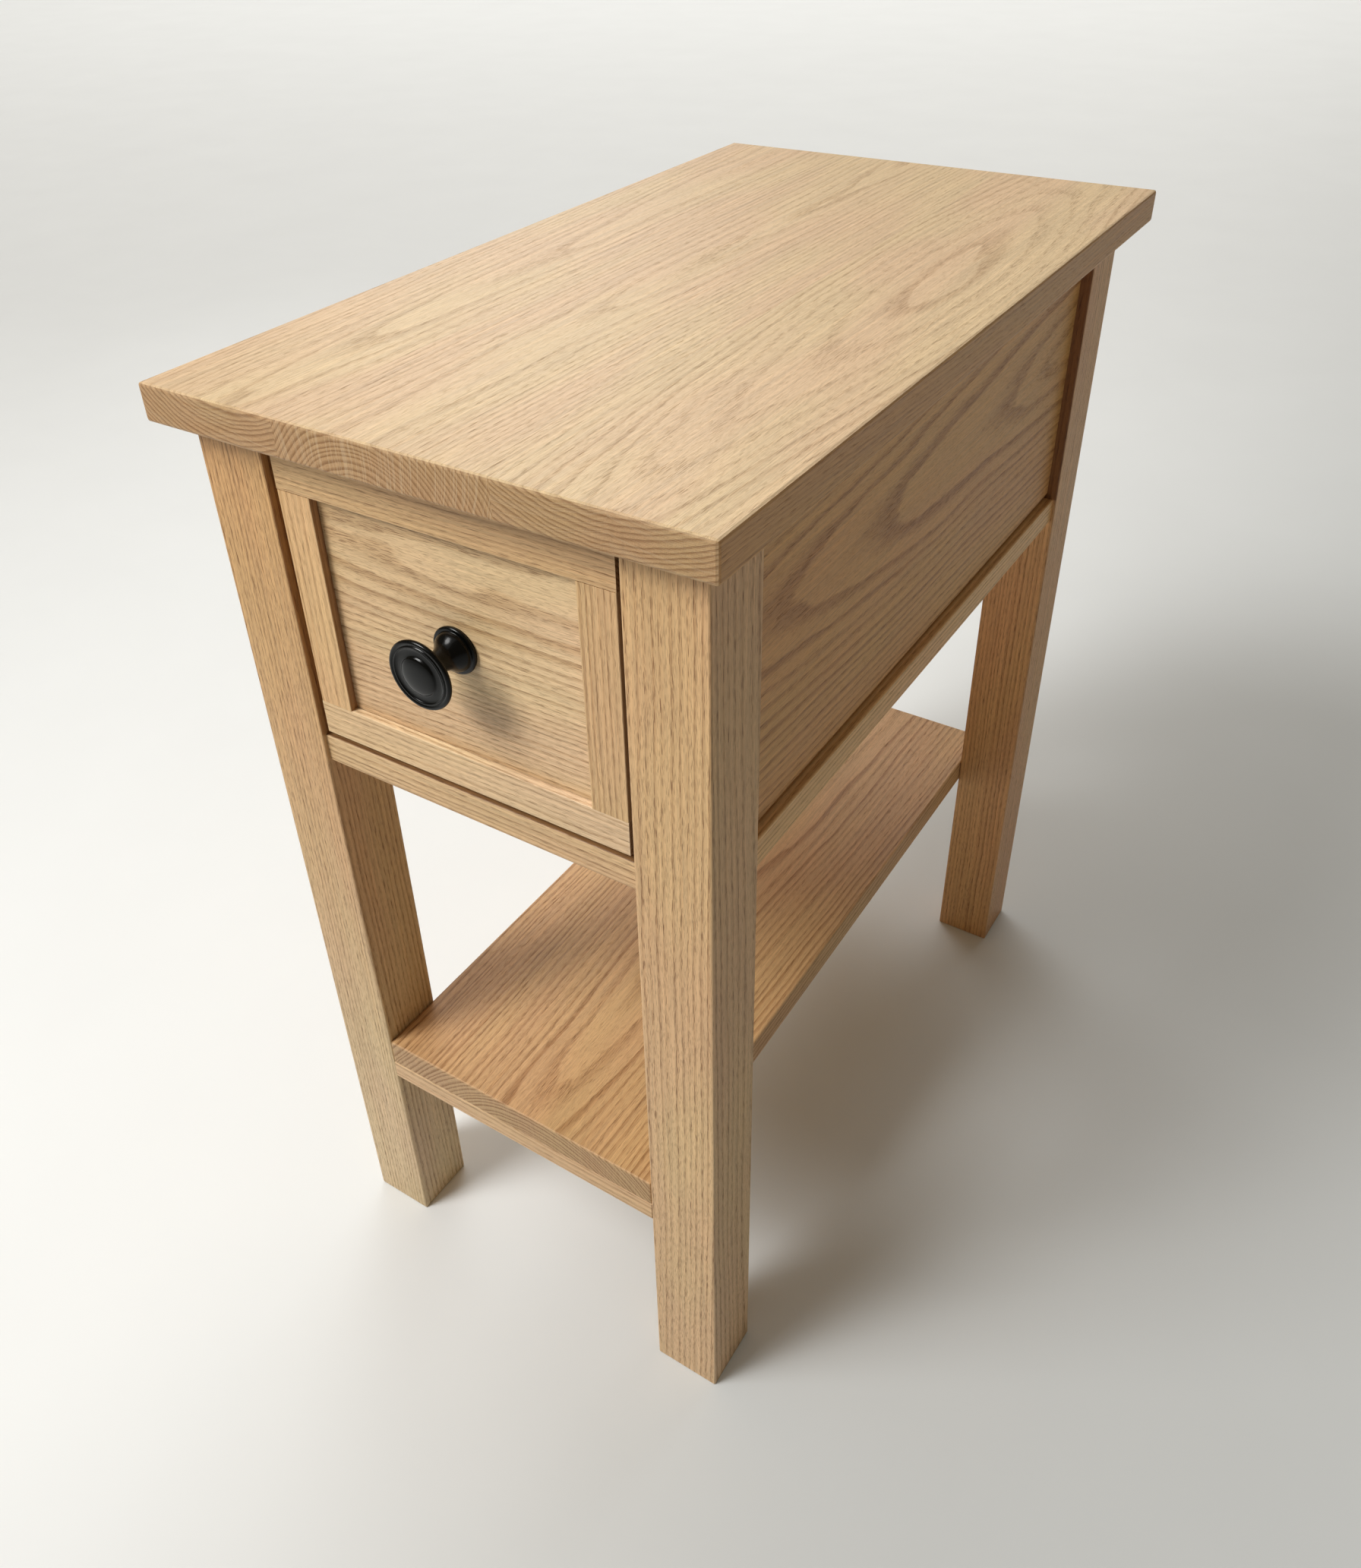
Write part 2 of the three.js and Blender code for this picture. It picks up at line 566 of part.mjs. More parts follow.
// Half-section of the turned knob: radius, and distance out from the face of the panel.
function knobProfile() {
  const bore = [[0, KNOB_BORE_DEPTH], [KNOB_BORE_RADIUS, KNOB_BORE_DEPTH], [KNOB_BORE_RADIUS, 0]];
  const foot = [[12, 0], [12.5, 0.8], [12.5, 2], [11.8, 2.9], [10.6, 3.1], [10.3, 4.2]];
  const neck = [[9.1, 6.2], [7.2, 8.8], [5.9, 11.5], [5.4, 14], [5.8, 16.5], [7.2, 19]];
  const cup = [[10.2, 21.4], [14.4, 22.9], [17.2, 23.8]];
  const rim = [[18, 25], [17.9, 26.3], [17, 27], [15.8, 26.7]];
  const ring = [[15, 26], [13.6, 26.2], [13, 27], [12, 27.2]];
  const boss = [[11.2, 26.7], [7.4, 27], [6.6, 27.9], [4, KNOB_LENGTH - 0.1], [0, KNOB_LENGTH]];
  const points = [...bore, ...foot, ...neck, ...cup, ...rim, ...ring, ...boss];
  return points.map(([radius, out]) => new THREE.Vector2(radius, out));
}

function addKnob() {
  const knob = solid(new THREE.LatheGeometry(knobProfile(), KNOB_SIDES));
  const place = [0, drawerPanelFaceY, knobZ];
  addPiece(drawer, 'drawer_knob', pointed(knob, '-y', place), BLACK_KNOB);
  const screw = pointed(woodScrew(KNOB_SCREW_LENGTH), '-y', [0, boxFrontBackY, knobZ]);
  addPiece(drawer, 'knob_screw', screw, SCREW_STEEL);
}

// ---------------------------------------------------------------- drawer box

// One dovetail pin: narrow at the drawer front, wide at the inside of the box front.
function pin(side, centreZ, gap) {
  const outline = new THREE.Shape();
  const narrow = PIN_WIDTH / 2 + gap;
  const wide = narrow + PIN_FLARE;
  const reach = BOX_WALL + gap;
  outline.moveTo(0, -narrow);
  outline.lineTo(reach, -wide);
  outline.lineTo(reach, wide);
  outline.lineTo(0, narrow);
  const width = BOX_WALL + 2 * OVERCUT;
  const geometry = new THREE.ExtrudeGeometry(outline, { depth: width, bevelEnabled: false });
  // The outline is turned so that its first axis runs along +Y and its second along +Z.
  geometry.rotateX(Math.PI / 2).rotateZ(Math.PI / 2);
  geometry.computeBoundingBox();
  const { min } = geometry.boundingBox;
  const startX = (side > 0 ? boxInnerHalfWidth : -BOX_HALF_WIDTH) - OVERCUT;
  return solid(geometry.translate(startX - min.x, drawerFrontBackY - min.y, centreZ));
}

function pins(side, gap) {
  const pitch = (BOX_TOP - boxBottom) / TAILS_PER_CORNER;
  const heights = Array.from({ length: TAILS_PER_CORNER + 1 }, (_, i) => boxBottom + i * pitch);
  return heights.map((height) => pin(side, height, gap));
}

function addDrawerBox() {
  const boxZ = [boxBottom, BOX_TOP];
  const frontY = [drawerFrontBackY, boxFrontBackY];
  const grooveZ = loose([BOX_FLOOR_BOTTOM, boxFloorTop]);
  const grooveOuterX = boxInnerHalfWidth + BOX_GROOVE_DEPTH;
  const { length: tongueLength, endGap, shoulder } = BOX_FLOOR_TONGUE;

  const endCap = block([-BOX_HALF_WIDTH, BOX_HALF_WIDTH], frontY, boxZ);
  const coreX = boxInnerHalfWidth - GAP;
  const core = block([-coreX, coreX], frontY, boxZ);
  const allPins = SIDES.flatMap(([, side]) => pins(side, 0));
  const frontGrooveX = boxInnerHalfWidth - endGap + GAP;
  const frontGrooveY = [boxFrontBackY - tongueLength - GAP, boxFrontBackY + OVERCUT];
  const frontGroove = block([-frontGrooveX, frontGrooveX], frontGrooveY, grooveZ);
  const boxFront = joinAll(core, allPins).intersect(endCap);
  const boxFrontCut = cutAll(boxFront, [frontGroove, knobScrewBore()]);
  addPiece(drawer, 'drawer_box_front', boxFrontCut, OAK_INSIDE);

  for (const [sideName, side] of SIDES) {
    const wallX = [side * boxInnerHalfWidth, side * BOX_HALF_WIDTH];
    const wall = board(wallX, [drawerFrontBackY, BOX_REAR_Y], boxZ, 'y', EASE / 2);
    const grooveX = [0, side * (grooveOuterX + GAP)];
    const floorGrooveY = [boxFrontBackY + shoulder - GAP, BOX_REAR_Y + OVERCUT];
    const floorGroove = block(grooveX, floorGrooveY, grooveZ);
    const housingX = [0, side * (boxInnerHalfWidth + BACK_HOUSING_DEPTH + GAP)];
    const housingY = loose([BOX_BACK_REAR_Y - BOX_BACK_THICKNESS, BOX_BACK_REAR_Y]);
    const housing = block(housingX, housingY, [boxFloorTop, BOX_BACK_TOP + GAP]);
    const cuts = [...pins(side, GAP), floorGroove, housing];
    addPiece(drawer, `drawer_${sideName}_side`, cutAll(wall, cuts), OAK_INSIDE);
  }
  addDrawerBackAndFloor(grooveOuterX);
}

function addDrawerBackAndFloor(grooveOuterX) {
  const backX = boxInnerHalfWidth + BACK_HOUSING_DEPTH;
  const backY = [BOX_BACK_REAR_Y - BOX_BACK_THICKNESS, BOX_BACK_REAR_Y];
  const back = board([-backX, backX], backY, [boxFloorTop + BOX_BACK_LIFT, BOX_BACK_TOP], 'x', EASE / 2);
  const bottomScrewPlace = [0, BOX_BACK_REAR_Y - BOX_BACK_THICKNESS / 2, BOX_FLOOR_BOTTOM];
  const bottomScrewHole = pointed(screwHole(BOTTOM_SCREW_LENGTH), '+z', bottomScrewPlace);
  const stopHoles = screwHoles(stopScrewPlaces(), STOP_SCREW_LENGTH, '-y');
  addPiece(drawer, 'drawer_back', cutAll(back, [bottomScrewHole, ...stopHoles]), OAK_INSIDE);

  const floorZ = [BOX_FLOOR_BOTTOM, boxFloorTop];
  const { length: tongueLength, endGap, shoulder } = BOX_FLOOR_TONGUE;
  const wideFrontY = boxFrontBackY + shoulder;
  const wide = block([-grooveOuterX, grooveOuterX], [wideFrontY, BOX_BACK_REAR_Y], floorZ);
  const tongueX = boxInnerHalfWidth - endGap;
  const tongueY = [boxFrontBackY - tongueLength, wideFrontY + EMBED];
  const tongue = block([-tongueX, tongueX], tongueY, floorZ);
  const floor = wide.add(tongue).subtract(bottomScrewHole);
  addPiece(drawer, 'drawer_bottom', floor, BIRCH_PLY);
  const bottomScrew = pointed(woodScrew(BOTTOM_SCREW_LENGTH), '+z', bottomScrewPlace);
  addPiece(drawer, 'drawer_bottom_screw', bottomScrew, SCREW_STEEL);
}

// ---------------------------------------------------------------- opening stop

function stopScrewPlaces() {
  const { thickness, bottom, screwX, screwRise } = STOP_BLOCK;
  return SIDES.map(([, side]) => [side * screwX, BOX_BACK_REAR_Y + thickness, bottom + screwRise]);
}

// A block on the back of the drawer meets the rear edge of the stretcher when fully open.
function addStopBlock() {
  const { halfWidth, thickness, bottom, top } = STOP_BLOCK;
  const y = [BOX_BACK_REAR_Y, BOX_BACK_REAR_Y + thickness];
  const body = board([-halfWidth, halfWidth], y, [bottom, top], 'x');
  const places = stopScrewPlaces();
  const holes = screwHoles(places, STOP_SCREW_LENGTH, '-y');
  addPiece(drawer, 'drawer_stop_block', cutAll(body, holes), OAK_INSIDE);
  addScrews(drawer, 'stop_block_screw', places, STOP_SCREW_LENGTH, '-y');
}

// ---------------------------------------------------------------- assembly

addTabletop();
addLegs();
addSidePanelsAndRails();
addBackPanelAndRail();
addFrontRail();
addFrontTopStretcher();
addRunnersGuidesAndKickers();
addShelf();
addDrawerFront();
addKnob();
addDrawerBox();
addStopBlock();

export default table;
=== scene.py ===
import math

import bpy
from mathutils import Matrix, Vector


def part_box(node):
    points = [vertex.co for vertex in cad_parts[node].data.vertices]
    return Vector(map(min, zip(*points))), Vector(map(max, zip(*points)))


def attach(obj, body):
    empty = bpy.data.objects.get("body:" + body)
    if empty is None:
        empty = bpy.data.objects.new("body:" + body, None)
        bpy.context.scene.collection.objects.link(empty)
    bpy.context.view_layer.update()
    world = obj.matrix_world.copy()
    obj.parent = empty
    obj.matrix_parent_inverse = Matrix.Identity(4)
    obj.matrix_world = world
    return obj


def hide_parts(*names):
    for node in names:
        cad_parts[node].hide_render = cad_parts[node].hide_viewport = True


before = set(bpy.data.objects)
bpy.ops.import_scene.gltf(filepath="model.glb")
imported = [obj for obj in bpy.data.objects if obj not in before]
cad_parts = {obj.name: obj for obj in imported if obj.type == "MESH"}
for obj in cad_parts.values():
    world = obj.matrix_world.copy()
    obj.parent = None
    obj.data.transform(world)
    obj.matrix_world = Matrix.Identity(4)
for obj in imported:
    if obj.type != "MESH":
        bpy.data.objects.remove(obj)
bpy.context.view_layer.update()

# Looks of an oak side table with one drawer and a low shelf, in metres, +Z up. The drawer
# opens towards -Y, and +X is on the right seen from the front.

MM = 0.001


# ------------------------------------------------------------------ node trees

def srgb(red, green, blue):
    """A colour given as 0 to 255 screen values, as the linear colour that shaders take."""
    def linear(value):
        share = value / 255
        return share / 12.92 if share <= 0.04045 else ((share + 0.055) / 1.055) ** 2.4
    return (linear(red), linear(green), linear(blue), 1.0)


class Nodes:
    """A shader tree that grows one expression at a time. A value is a socket or a constant."""

    def __init__(self, tree):
        self.tree = tree

    def feed(self, socket, value):
        if isinstance(value, bpy.types.NodeSocket):
            self.tree.links.new(value, socket)
        else:
            socket.default_value = value

    def add(self, kind, inputs, output=0, **settings):
        node = self.tree.nodes.new(kind)
        for name, value in settings.items():
            setattr(node, name, value)
        for name, value in inputs.items():
            self.feed(node.inputs[name], value)
        return node.outputs[output]

    def calc(self, operation, *values):
        return self.add("ShaderNodeMath", dict(enumerate(values)), operation=operation)

    def vector(self, operation, *values):
        return self.add("ShaderNodeVectorMath", dict(enumerate(values)), operation=operation)

    def scaled(self, vector, amount):
        return self.add("ShaderNodeVectorMath", {0: vector, "Scale": amount}, operation="SCALE")

    def parts(self, vector):
        node = self.tree.nodes.new("ShaderNodeSeparateXYZ")
        self.feed(node.inputs[0], vector)
        return node.outputs[0], node.outputs[1], node.outputs[2]

    def joined(self, x, y, z):
        return self.add("ShaderNodeCombineXYZ", {0: x, 1: y, 2: z})

    def noise(self, place, frequency, detail=1.0, colour=False):
        """Soft noise from 0 to 1, with its own frequency along each axis."""
        stretched = self.vector("MULTIPLY", place, frequency)
        inputs = {"Vector": stretched, "Scale": 1.0, "Detail": detail, "Roughness": 0.55}
        return self.add("ShaderNodeTexNoise", inputs, 1 if colour else 0)

    def drift(self, place, frequency, detail):
        """A noise vector from -0.5 to 0.5 along each axis."""
        noise = self.noise(place, frequency, detail, colour=True)
        return self.vector("SUBTRACT", noise, (0.5, 0.5, 0.5))

    def cells(self, place, frequency):
        """Distance to the nearest of the scattered points, one to a cell."""
        stretched = self.vector("MULTIPLY", place, frequency)
        return self.add("ShaderNodeTexVoronoi", {"Vector": stretched, "Scale": 1.0})

    def spread(self, value, reach, start):
        """start for a value of 0, and start + reach for 1."""
        return self.calc("MULTIPLY_ADD", value, reach, start)

    def ramp(self, value, low, high, start=0.0, end=1.0):
        """A smooth step: start at low, end at high."""
        inputs = {"Value": value, "From Min": low, "From Max": high, "To Min": start, "To Max": end}
        return self.add("ShaderNodeMapRange", inputs, interpolation_type="SMOOTHSTEP")

    def mix(self, share, first, second, blend="MIX"):
        node = self.tree.nodes.new("ShaderNodeMix")
        node.data_type = "RGBA"
        node.blend_type = blend
        node.clamp_factor = True
        colours = [socket for socket in node.inputs if socket.type == "RGBA"]
        self.feed(node.inputs[0], share)
        self.feed(colours[0], first)
        self.feed(colours[1], second)
        return next(socket for socket in node.outputs if socket.type == "RGBA")

    def tinted(self, colour, tint):
        return self.mix(1.0, colour, tint, "MULTIPLY")


def new_material(name):
    """A material with its node builder, its shader and the outputs of its coordinates node."""
    material = bpy.data.materials.new(name)
    material.use_nodes = True
    shader = material.node_tree.nodes["Principled BSDF"]
    coordinates = material.node_tree.nodes.new("ShaderNodeTexCoord")
    return material, Nodes(material.node_tree), shader, coordinates.outputs


def add_bump(n, shader, height, strength, depth):
    """Bumps up to depth millimetres high."""
    inputs = {"Strength": strength, "Distance": depth * MM, "Height": height}
    n.feed(shader.inputs["Normal"], n.add("ShaderNodeBump", inputs))


def new_group(name, inputs, outputs):
    """An empty node group with its sockets, and the outputs of its input node by name."""
    tree = bpy.data.node_groups.new(name, "ShaderNodeTree")
    for socket_name, (kind, default) in inputs.items():
        socket = tree.interface.new_socket(socket_name, in_out="INPUT", socket_type=kind)
        socket.default_value = default
    for socket_name, kind in outputs.items():
        tree.interface.new_socket(socket_name, in_out="OUTPUT", socket_type=kind)
    entry = tree.nodes.new("NodeGroupInput")
    return tree, {socket.name: socket for socket in entry.outputs if socket.name}


def close_group(tree, results):
    exit_node = tree.nodes.new("NodeGroupOutput")
    for name, socket in results.items():
        tree.links.new(socket, exit_node.inputs[name])


# ------------------------------------------------------------------ oak, as a solid texture
# A board's own coordinates are millimetres from its centre: X across the face, Y along the
# grain, Z out of the face. The year rings are round a pith line that runs roughly along Y,
# outside the board. The faces and ends cut them as a saw does.

LATE_WOOD = srgb(210, 180, 139)
EARLY_WOOD = srgb(150, 106, 58)
PORE = srgb(108, 65, 29)
END_RAY = srgb(206, 178, 140)
# Tints multiply the colour of the wood.
NO_TINT = (1, 1, 1, 1)
STRAW_TINT = (1.02, 1.0, 0.92, 1.0)
PINK_TINT = (1.02, 0.945, 0.91, 1.0)
END_TINT = (0.70, 0.62, 0.53, 1.0)

# Frequencies per millimetre: across, along and out.
SLOW_DRIFT = (0.014, 0.0042, 0.014)
QUICK_DRIFT = (0.09, 0.016, 0.09)
STREAKS = (0.42, 0.010, 0.42)
THREADS = (2.0, 0.012, 2.0)
FIBRES = (3.4, 0.07, 3.4)
PATCHES = (0.022, 0.006, 0.022)
COARSE_PORES = (2.8, 0.08, 2.8)
FINE_PORES = (4.4, 0.125, 4.4)
RAYS = (1.7, 0.10, 0.035)                  # round the rings, along, and outwards
UNEVEN_YEARS = (0.11, 31.7, 1.0)           # outwards, by seed
RING_TONES = (0.73, 13.1, 1.0)             # by year, by seed

SEED_OFFSET = (173.1, 917.7, 431.3)        # millimetres that one step of the seed moves the noise
QUICK_WANDER = 1.7                         # millimetres that the quick drift moves the rings
PORE_BEND = 1.2                            # millimetres that it bends the pores and streaks
BOW_ROUNDNESS = 100.0                      # millimetres, the rounded middle of a bowed pith line

# A year begins with a band of early wood, a little before the whole number.
EARLY_STARTS = 0.90
EARLY_FADES = (0.05, 0.55)
YEAR_UNEVENNESS = 2.2
RING_TONE_SPAN = (0.3, 0.7)
RING_DEPTHS = (0.35, 1.0)
EARLY_SHARE = 0.56
END_EARLY_SHARE = 0.62

RAY_EDGE = (0.50, 0.62)
FACE_RAY_SHARE = 0.08
END_RAY_SHARE = 0.34

# Pore sizes are in cells. The edges are how sharply a pore begins.
COARSE_PORE_SIZE = 0.12
EARLY_PORE_GROWTH = 0.20
COARSE_PORE_EDGE = (-0.02, 0.05)
FINE_PORE_SIZE = 0.27
FINE_PORE_EDGE = (-0.04, 0.07)
FINE_PORE_OFFSET = (71.0, 13.0, 29.0)
FINE_PORE_SHARE = 0.55
FACE_PORE_SHARE = 0.66
END_PORE_CHANGE = -0.15

# Changes of brightness: how far they reach, and where they start.
STREAK_LIGHT = (0.34, 0.83)
THREAD_LIGHT = (0.66, 0.67)
FIBRE_LIGHT = (0.24, 0.88)
PATCH_SPAN = (0.35, 0.65)

END_FACING = (0.55, 0.8)
CHEEK_FACING = (0.7, 0.9)
CHEEK_BLEND = 1.0                          # millimetres either side of a cheek's start
# Lighter arrises: partly sanded wear, partly a painted highlight along the eased edges.
ARRIS_WEAR_AND_HIGHLIGHT = (0.2, 1.6)                    # millimetres from the arris
ARRIS_SHARE = 0.35
ARRIS_STREAK_SPAN = (0.3, 0.6)
LEAST_ARRIS_WEAR_AND_HIGHLIGHT = 0.5

STREAK_ROUGHNESS = (0.10, 0.40)
PORE_ROUGHNESS = 0.22
END_ROUGHNESS = 0.12
FIBRE_HEIGHT = 0.30
THREAD_HEIGHT = 0.35
EARLY_HEIGHT = -0.15

FLOAT = "NodeSocketFloat"
VECTOR = "NodeSocketVector"
COLOUR = "NodeSocketColor"
OAK_INPUTS = {
    "Place": (VECTOR, (0, 0, 0)),
    "Facing": (VECTOR, (0, 0, 1)),
    "Half Size": (VECTOR, (10, 10, 10)),
    "Pith": (VECTOR, (0, 0, 60)),
    "Lean": (VECTOR, (0, 0, 0)),
    "Bow": (FLOAT, 0.0),
    "Bow Centre": (FLOAT, 0.0),
    "Ring Width": (FLOAT, 2.5),
    "Wander": (FLOAT, 6.0),
    "Contrast": (FLOAT, 1.0),
    "Pore Depth": (FLOAT, 1.0),
    "Cheek Side": (FLOAT, 0.0),
    "Cheek Start": (FLOAT, -1000.0),
    "Cheek Tint": (COLOUR, NO_TINT),
    "End Tint": (COLOUR, END_TINT),
    "Tint": (COLOUR, NO_TINT),
    "Far Tint": (COLOUR, NO_TINT),
    "Seed": (FLOAT, 0.0),
}
OAK_OUTPUTS = {"Color": COLOUR, "Roughness": FLOAT, "Height": FLOAT}


def from_pith(n, given, wander):
    """Where a point is from the pith line, across and out. The line leans and bows."""
    across, along, out = n.parts(given["Place"])
    pith_x, _, pith_z = n.parts(given["Pith"])
    lean_x, _, lean_z = n.parts(given["Lean"])
    wander_x, _, wander_z = n.parts(wander)
    from_bow = n.calc("SUBTRACT", along, given["Bow Centre"])
    bow_square = n.calc("MULTIPLY_ADD", from_bow, from_bow, BOW_ROUNDNESS ** 2)
    bow = n.calc("SUBTRACT", n.calc("SQRT", bow_square), BOW_ROUNDNESS)
    centre_x = n.calc("MULTIPLY_ADD", lean_x, along, pith_x)
    bowed_z = n.calc("MULTIPLY_ADD", given["Bow"], bow, pith_z)
    centre_z = n.calc("MULTIPLY_ADD", lean_z, along, bowed_z)
    ring_x = n.calc("ADD", n.calc("SUBTRACT", across, centre_x), wander_x)
    ring_z = n.calc("ADD", n.calc("SUBTRACT", out, centre_z), wander_z)
    return ring_x, ring_z


def year_rings(n, given, radius):
    """Where the early wood is, and how deeply each ring is coloured."""
    uneven = n.noise(n.joined(radius, given["Seed"], 0.0), UNEVEN_YEARS, 1.0)
    steady_years = n.calc("DIVIDE", radius, given["Ring Width"])
    years = n.spread(uneven, YEAR_UNEVENNESS, steady_years)
    season = n.calc("FRACT", years)
    fading = n.ramp(season, *EARLY_FADES, 1.0, 0.0)
    starting = n.ramp(season, EARLY_STARTS, 1.0)
    nearest_start = n.calc("FLOOR", n.calc("ADD", years, 1 - EARLY_STARTS))
    ring_tone = n.noise(n.joined(nearest_start, given["Seed"], 0.5), RING_TONES, 0.0)
    depth = n.ramp(ring_tone, *RING_TONE_SPAN, *RING_DEPTHS)
    return n.calc("MAXIMUM", fading, starting), depth


def wood_rays(n, given, ring_x, ring_z, radius, wander, offset):
    """Rays run outwards from the pith: lines on the ends, short dashes on the faces."""
    _, along, _ = n.parts(given["Place"])
    _, wander_y, _ = n.parts(wander)
    round_ring = n.calc("MULTIPLY", n.calc("ARCTAN2", ring_x, ring_z), radius)
    place = n.joined(round_ring, n.calc("ADD", along, wander_y), radius)
    return n.ramp(n.noise(n.vector("ADD", place, offset), RAYS, 1.5), *RAY_EDGE)


def open_pores(n, bent, early):
    """Pores along the grain, thick in the early wood and fine in the late wood."""
    coarse_size = n.spread(early, EARLY_PORE_GROWTH, COARSE_PORE_SIZE)
    coarse_depth = n.calc("SUBTRACT", coarse_size, n.cells(bent, COARSE_PORES))
    coarse = n.ramp(coarse_depth, *COARSE_PORE_EDGE)
    fine_cells = n.cells(n.vector("ADD", bent, FINE_PORE_OFFSET), FINE_PORES)
    fine = n.ramp(n.calc("SUBTRACT", FINE_PORE_SIZE, fine_cells), *FINE_PORE_EDGE)
    return n.calc("MAXIMUM", coarse, n.calc("MULTIPLY", fine, FINE_PORE_SHARE))


def arris_wear_and_highlight(n, given, streak):
    """Lighter arrises, partly sanded wear and partly a painted highlight, patchy along the grain:
    where two of the three depths are small.
    """
    depth = n.vector("SUBTRACT", given["Half Size"], n.vector("ABSOLUTE", given["Place"]))
    depth_x, depth_y, depth_z = n.parts(depth)
    deepest = n.calc("MAXIMUM", depth_x, n.calc("MAXIMUM", depth_y, depth_z))
    total_depth = n.calc("ADD", depth_x, n.calc("ADD", depth_y, depth_z))
    from_arris = n.calc("SUBTRACT", total_depth, deepest)
    patchy = n.ramp(streak, *ARRIS_STREAK_SPAN, LEAST_ARRIS_WEAR_AND_HIGHLIGHT, 1.0)
    return n.calc("MULTIPLY", n.ramp(from_arris, *ARRIS_WEAR_AND_HIGHLIGHT, 1.0, 0.0), patchy)


def board_tints(n, given, wood):
    """The board's tint, which may change along it, and that of its cheek: partly the board's own
    tone, partly painted light and shade. A cheek is one long edge of the board, from a start
    along it; its tint paints shade into a gap and light onto a ledge."""
    _, along, _ = n.parts(given["Place"])
    _, half_length, _ = n.parts(given["Half Size"])
    near_end = n.calc("MULTIPLY", half_length, -1.0)
    tint = n.mix(n.ramp(along, near_end, half_length), given["Tint"], given["Far Tint"])
    wood = n.tinted(wood, tint)
    facing, _, _ = n.parts(given["Facing"])
    cheek = n.ramp(n.calc("MULTIPLY", facing, given["Cheek Side"]), *CHEEK_FACING)
    from_start = n.calc("SUBTRACT", along, given["Cheek Start"])
    cheek = n.calc("MULTIPLY", cheek, n.ramp(from_start, -CHEEK_BLEND, CHEEK_BLEND))
    return n.mix(cheek, wood, n.tinted(wood, given["Cheek Tint"]))


def oak_group():
    tree, given = new_group("oak", OAK_INPUTS, OAK_OUTPUTS)
    n = Nodes(tree)
    seed = given["Seed"]
    offset = n.vector("MULTIPLY", n.joined(seed, seed, seed), SEED_OFFSET)
    place = n.vector("ADD", given["Place"], offset)

    slow = n.drift(place, SLOW_DRIFT, 1.0)
    quick = n.drift(place, QUICK_DRIFT, 1.5)
    wander = n.vector("ADD", n.scaled(slow, given["Wander"]), n.scaled(quick, QUICK_WANDER))
    ring_x, ring_z = from_pith(n, given, wander)
    z_square = n.calc("MULTIPLY", ring_z, ring_z)
    radius = n.calc("SQRT", n.calc("MULTIPLY_ADD", ring_x, ring_x, z_square))
    early, ring_depth = year_rings(n, given, radius)
    ray = wood_rays(n, given, ring_x, ring_z, radius, wander, offset)

    bent = n.vector("ADD", place, n.scaled(quick, PORE_BEND))
    pores = open_pores(n, bent, early)
    streak = n.noise(bent, STREAKS, 2.0)
    thread = n.noise(bent, THREADS, 2.5)
    fibre = n.noise(place, FIBRES, 2.0)
    patch = n.noise(place, PATCHES, 1.0)
    _, end_facing, _ = n.parts(given["Facing"])
    end = n.ramp(n.calc("ABSOLUTE", end_facing), *END_FACING)

    early_share = n.calc("MULTIPLY", n.calc("MULTIPLY", early, ring_depth), EARLY_SHARE)
    early_share = n.calc("MULTIPLY", early_share, given["Contrast"])
    wood = n.mix(early_share, LATE_WOOD, EARLY_WOOD)
    wood = n.tinted(wood, n.mix(n.ramp(patch, *PATCH_SPAN), PINK_TINT, STRAW_TINT))
    light = n.spread(streak, *STREAK_LIGHT)
    light = n.calc("MULTIPLY", light, n.spread(thread, *THREAD_LIGHT))
    light = n.calc("MULTIPLY", light, n.spread(fibre, *FIBRE_LIGHT))
    wood = n.scaled(wood, light)
    face_ray = n.calc("MULTIPLY", ray, n.calc("SUBTRACT", 1.0, end))
    wood = n.mix(n.calc("MULTIPLY", face_ray, FACE_RAY_SHARE), wood, EARLY_WOOD)

    # The ends soak up more of the finish, and their rays stay pale.
    end_wood = n.mix(n.calc("MULTIPLY", early, END_EARLY_SHARE), wood, EARLY_WOOD)
    end_wood = n.tinted(end_wood, given["End Tint"])
    end_wood = n.mix(n.calc("MULTIPLY", ray, END_RAY_SHARE), end_wood, END_RAY)
    wood = n.mix(end, wood, end_wood)
    pore_share = n.calc("MULTIPLY", pores, n.spread(end, END_PORE_CHANGE, FACE_PORE_SHARE))
    wood = n.mix(n.calc("MULTIPLY", pore_share, given["Pore Depth"]), wood, PORE)

    # Lighter arrises: partly sanded wear, partly a painted highlight.
    worn_and_highlighted = arris_wear_and_highlight(n, given, streak)
    wood = n.mix(n.calc("MULTIPLY", worn_and_highlighted, ARRIS_SHARE), wood, LATE_WOOD)
    wood = board_tints(n, given, wood)

    roughness = n.spread(pores, PORE_ROUGHNESS, n.spread(streak, *STREAK_ROUGHNESS))
    roughness = n.calc("ADD", roughness, n.calc("MULTIPLY", end, END_ROUGHNESS))
    height = n.spread(fibre, FIBRE_HEIGHT, n.calc("MULTIPLY", thread, THREAD_HEIGHT))
    height = n.calc("SUBTRACT", height, pores)
    height = n.spread(early, EARLY_HEIGHT, height)
    close_group(tree, {"Color": wood, "Roughness": roughness, "Height": height})
    return tree


OAK = oak_group()
OAK_BUMP = (0.8, 0.12)                     # strength, and depth in millimetres
OAK_SPECULAR = 0.45
AXES = "xyz"


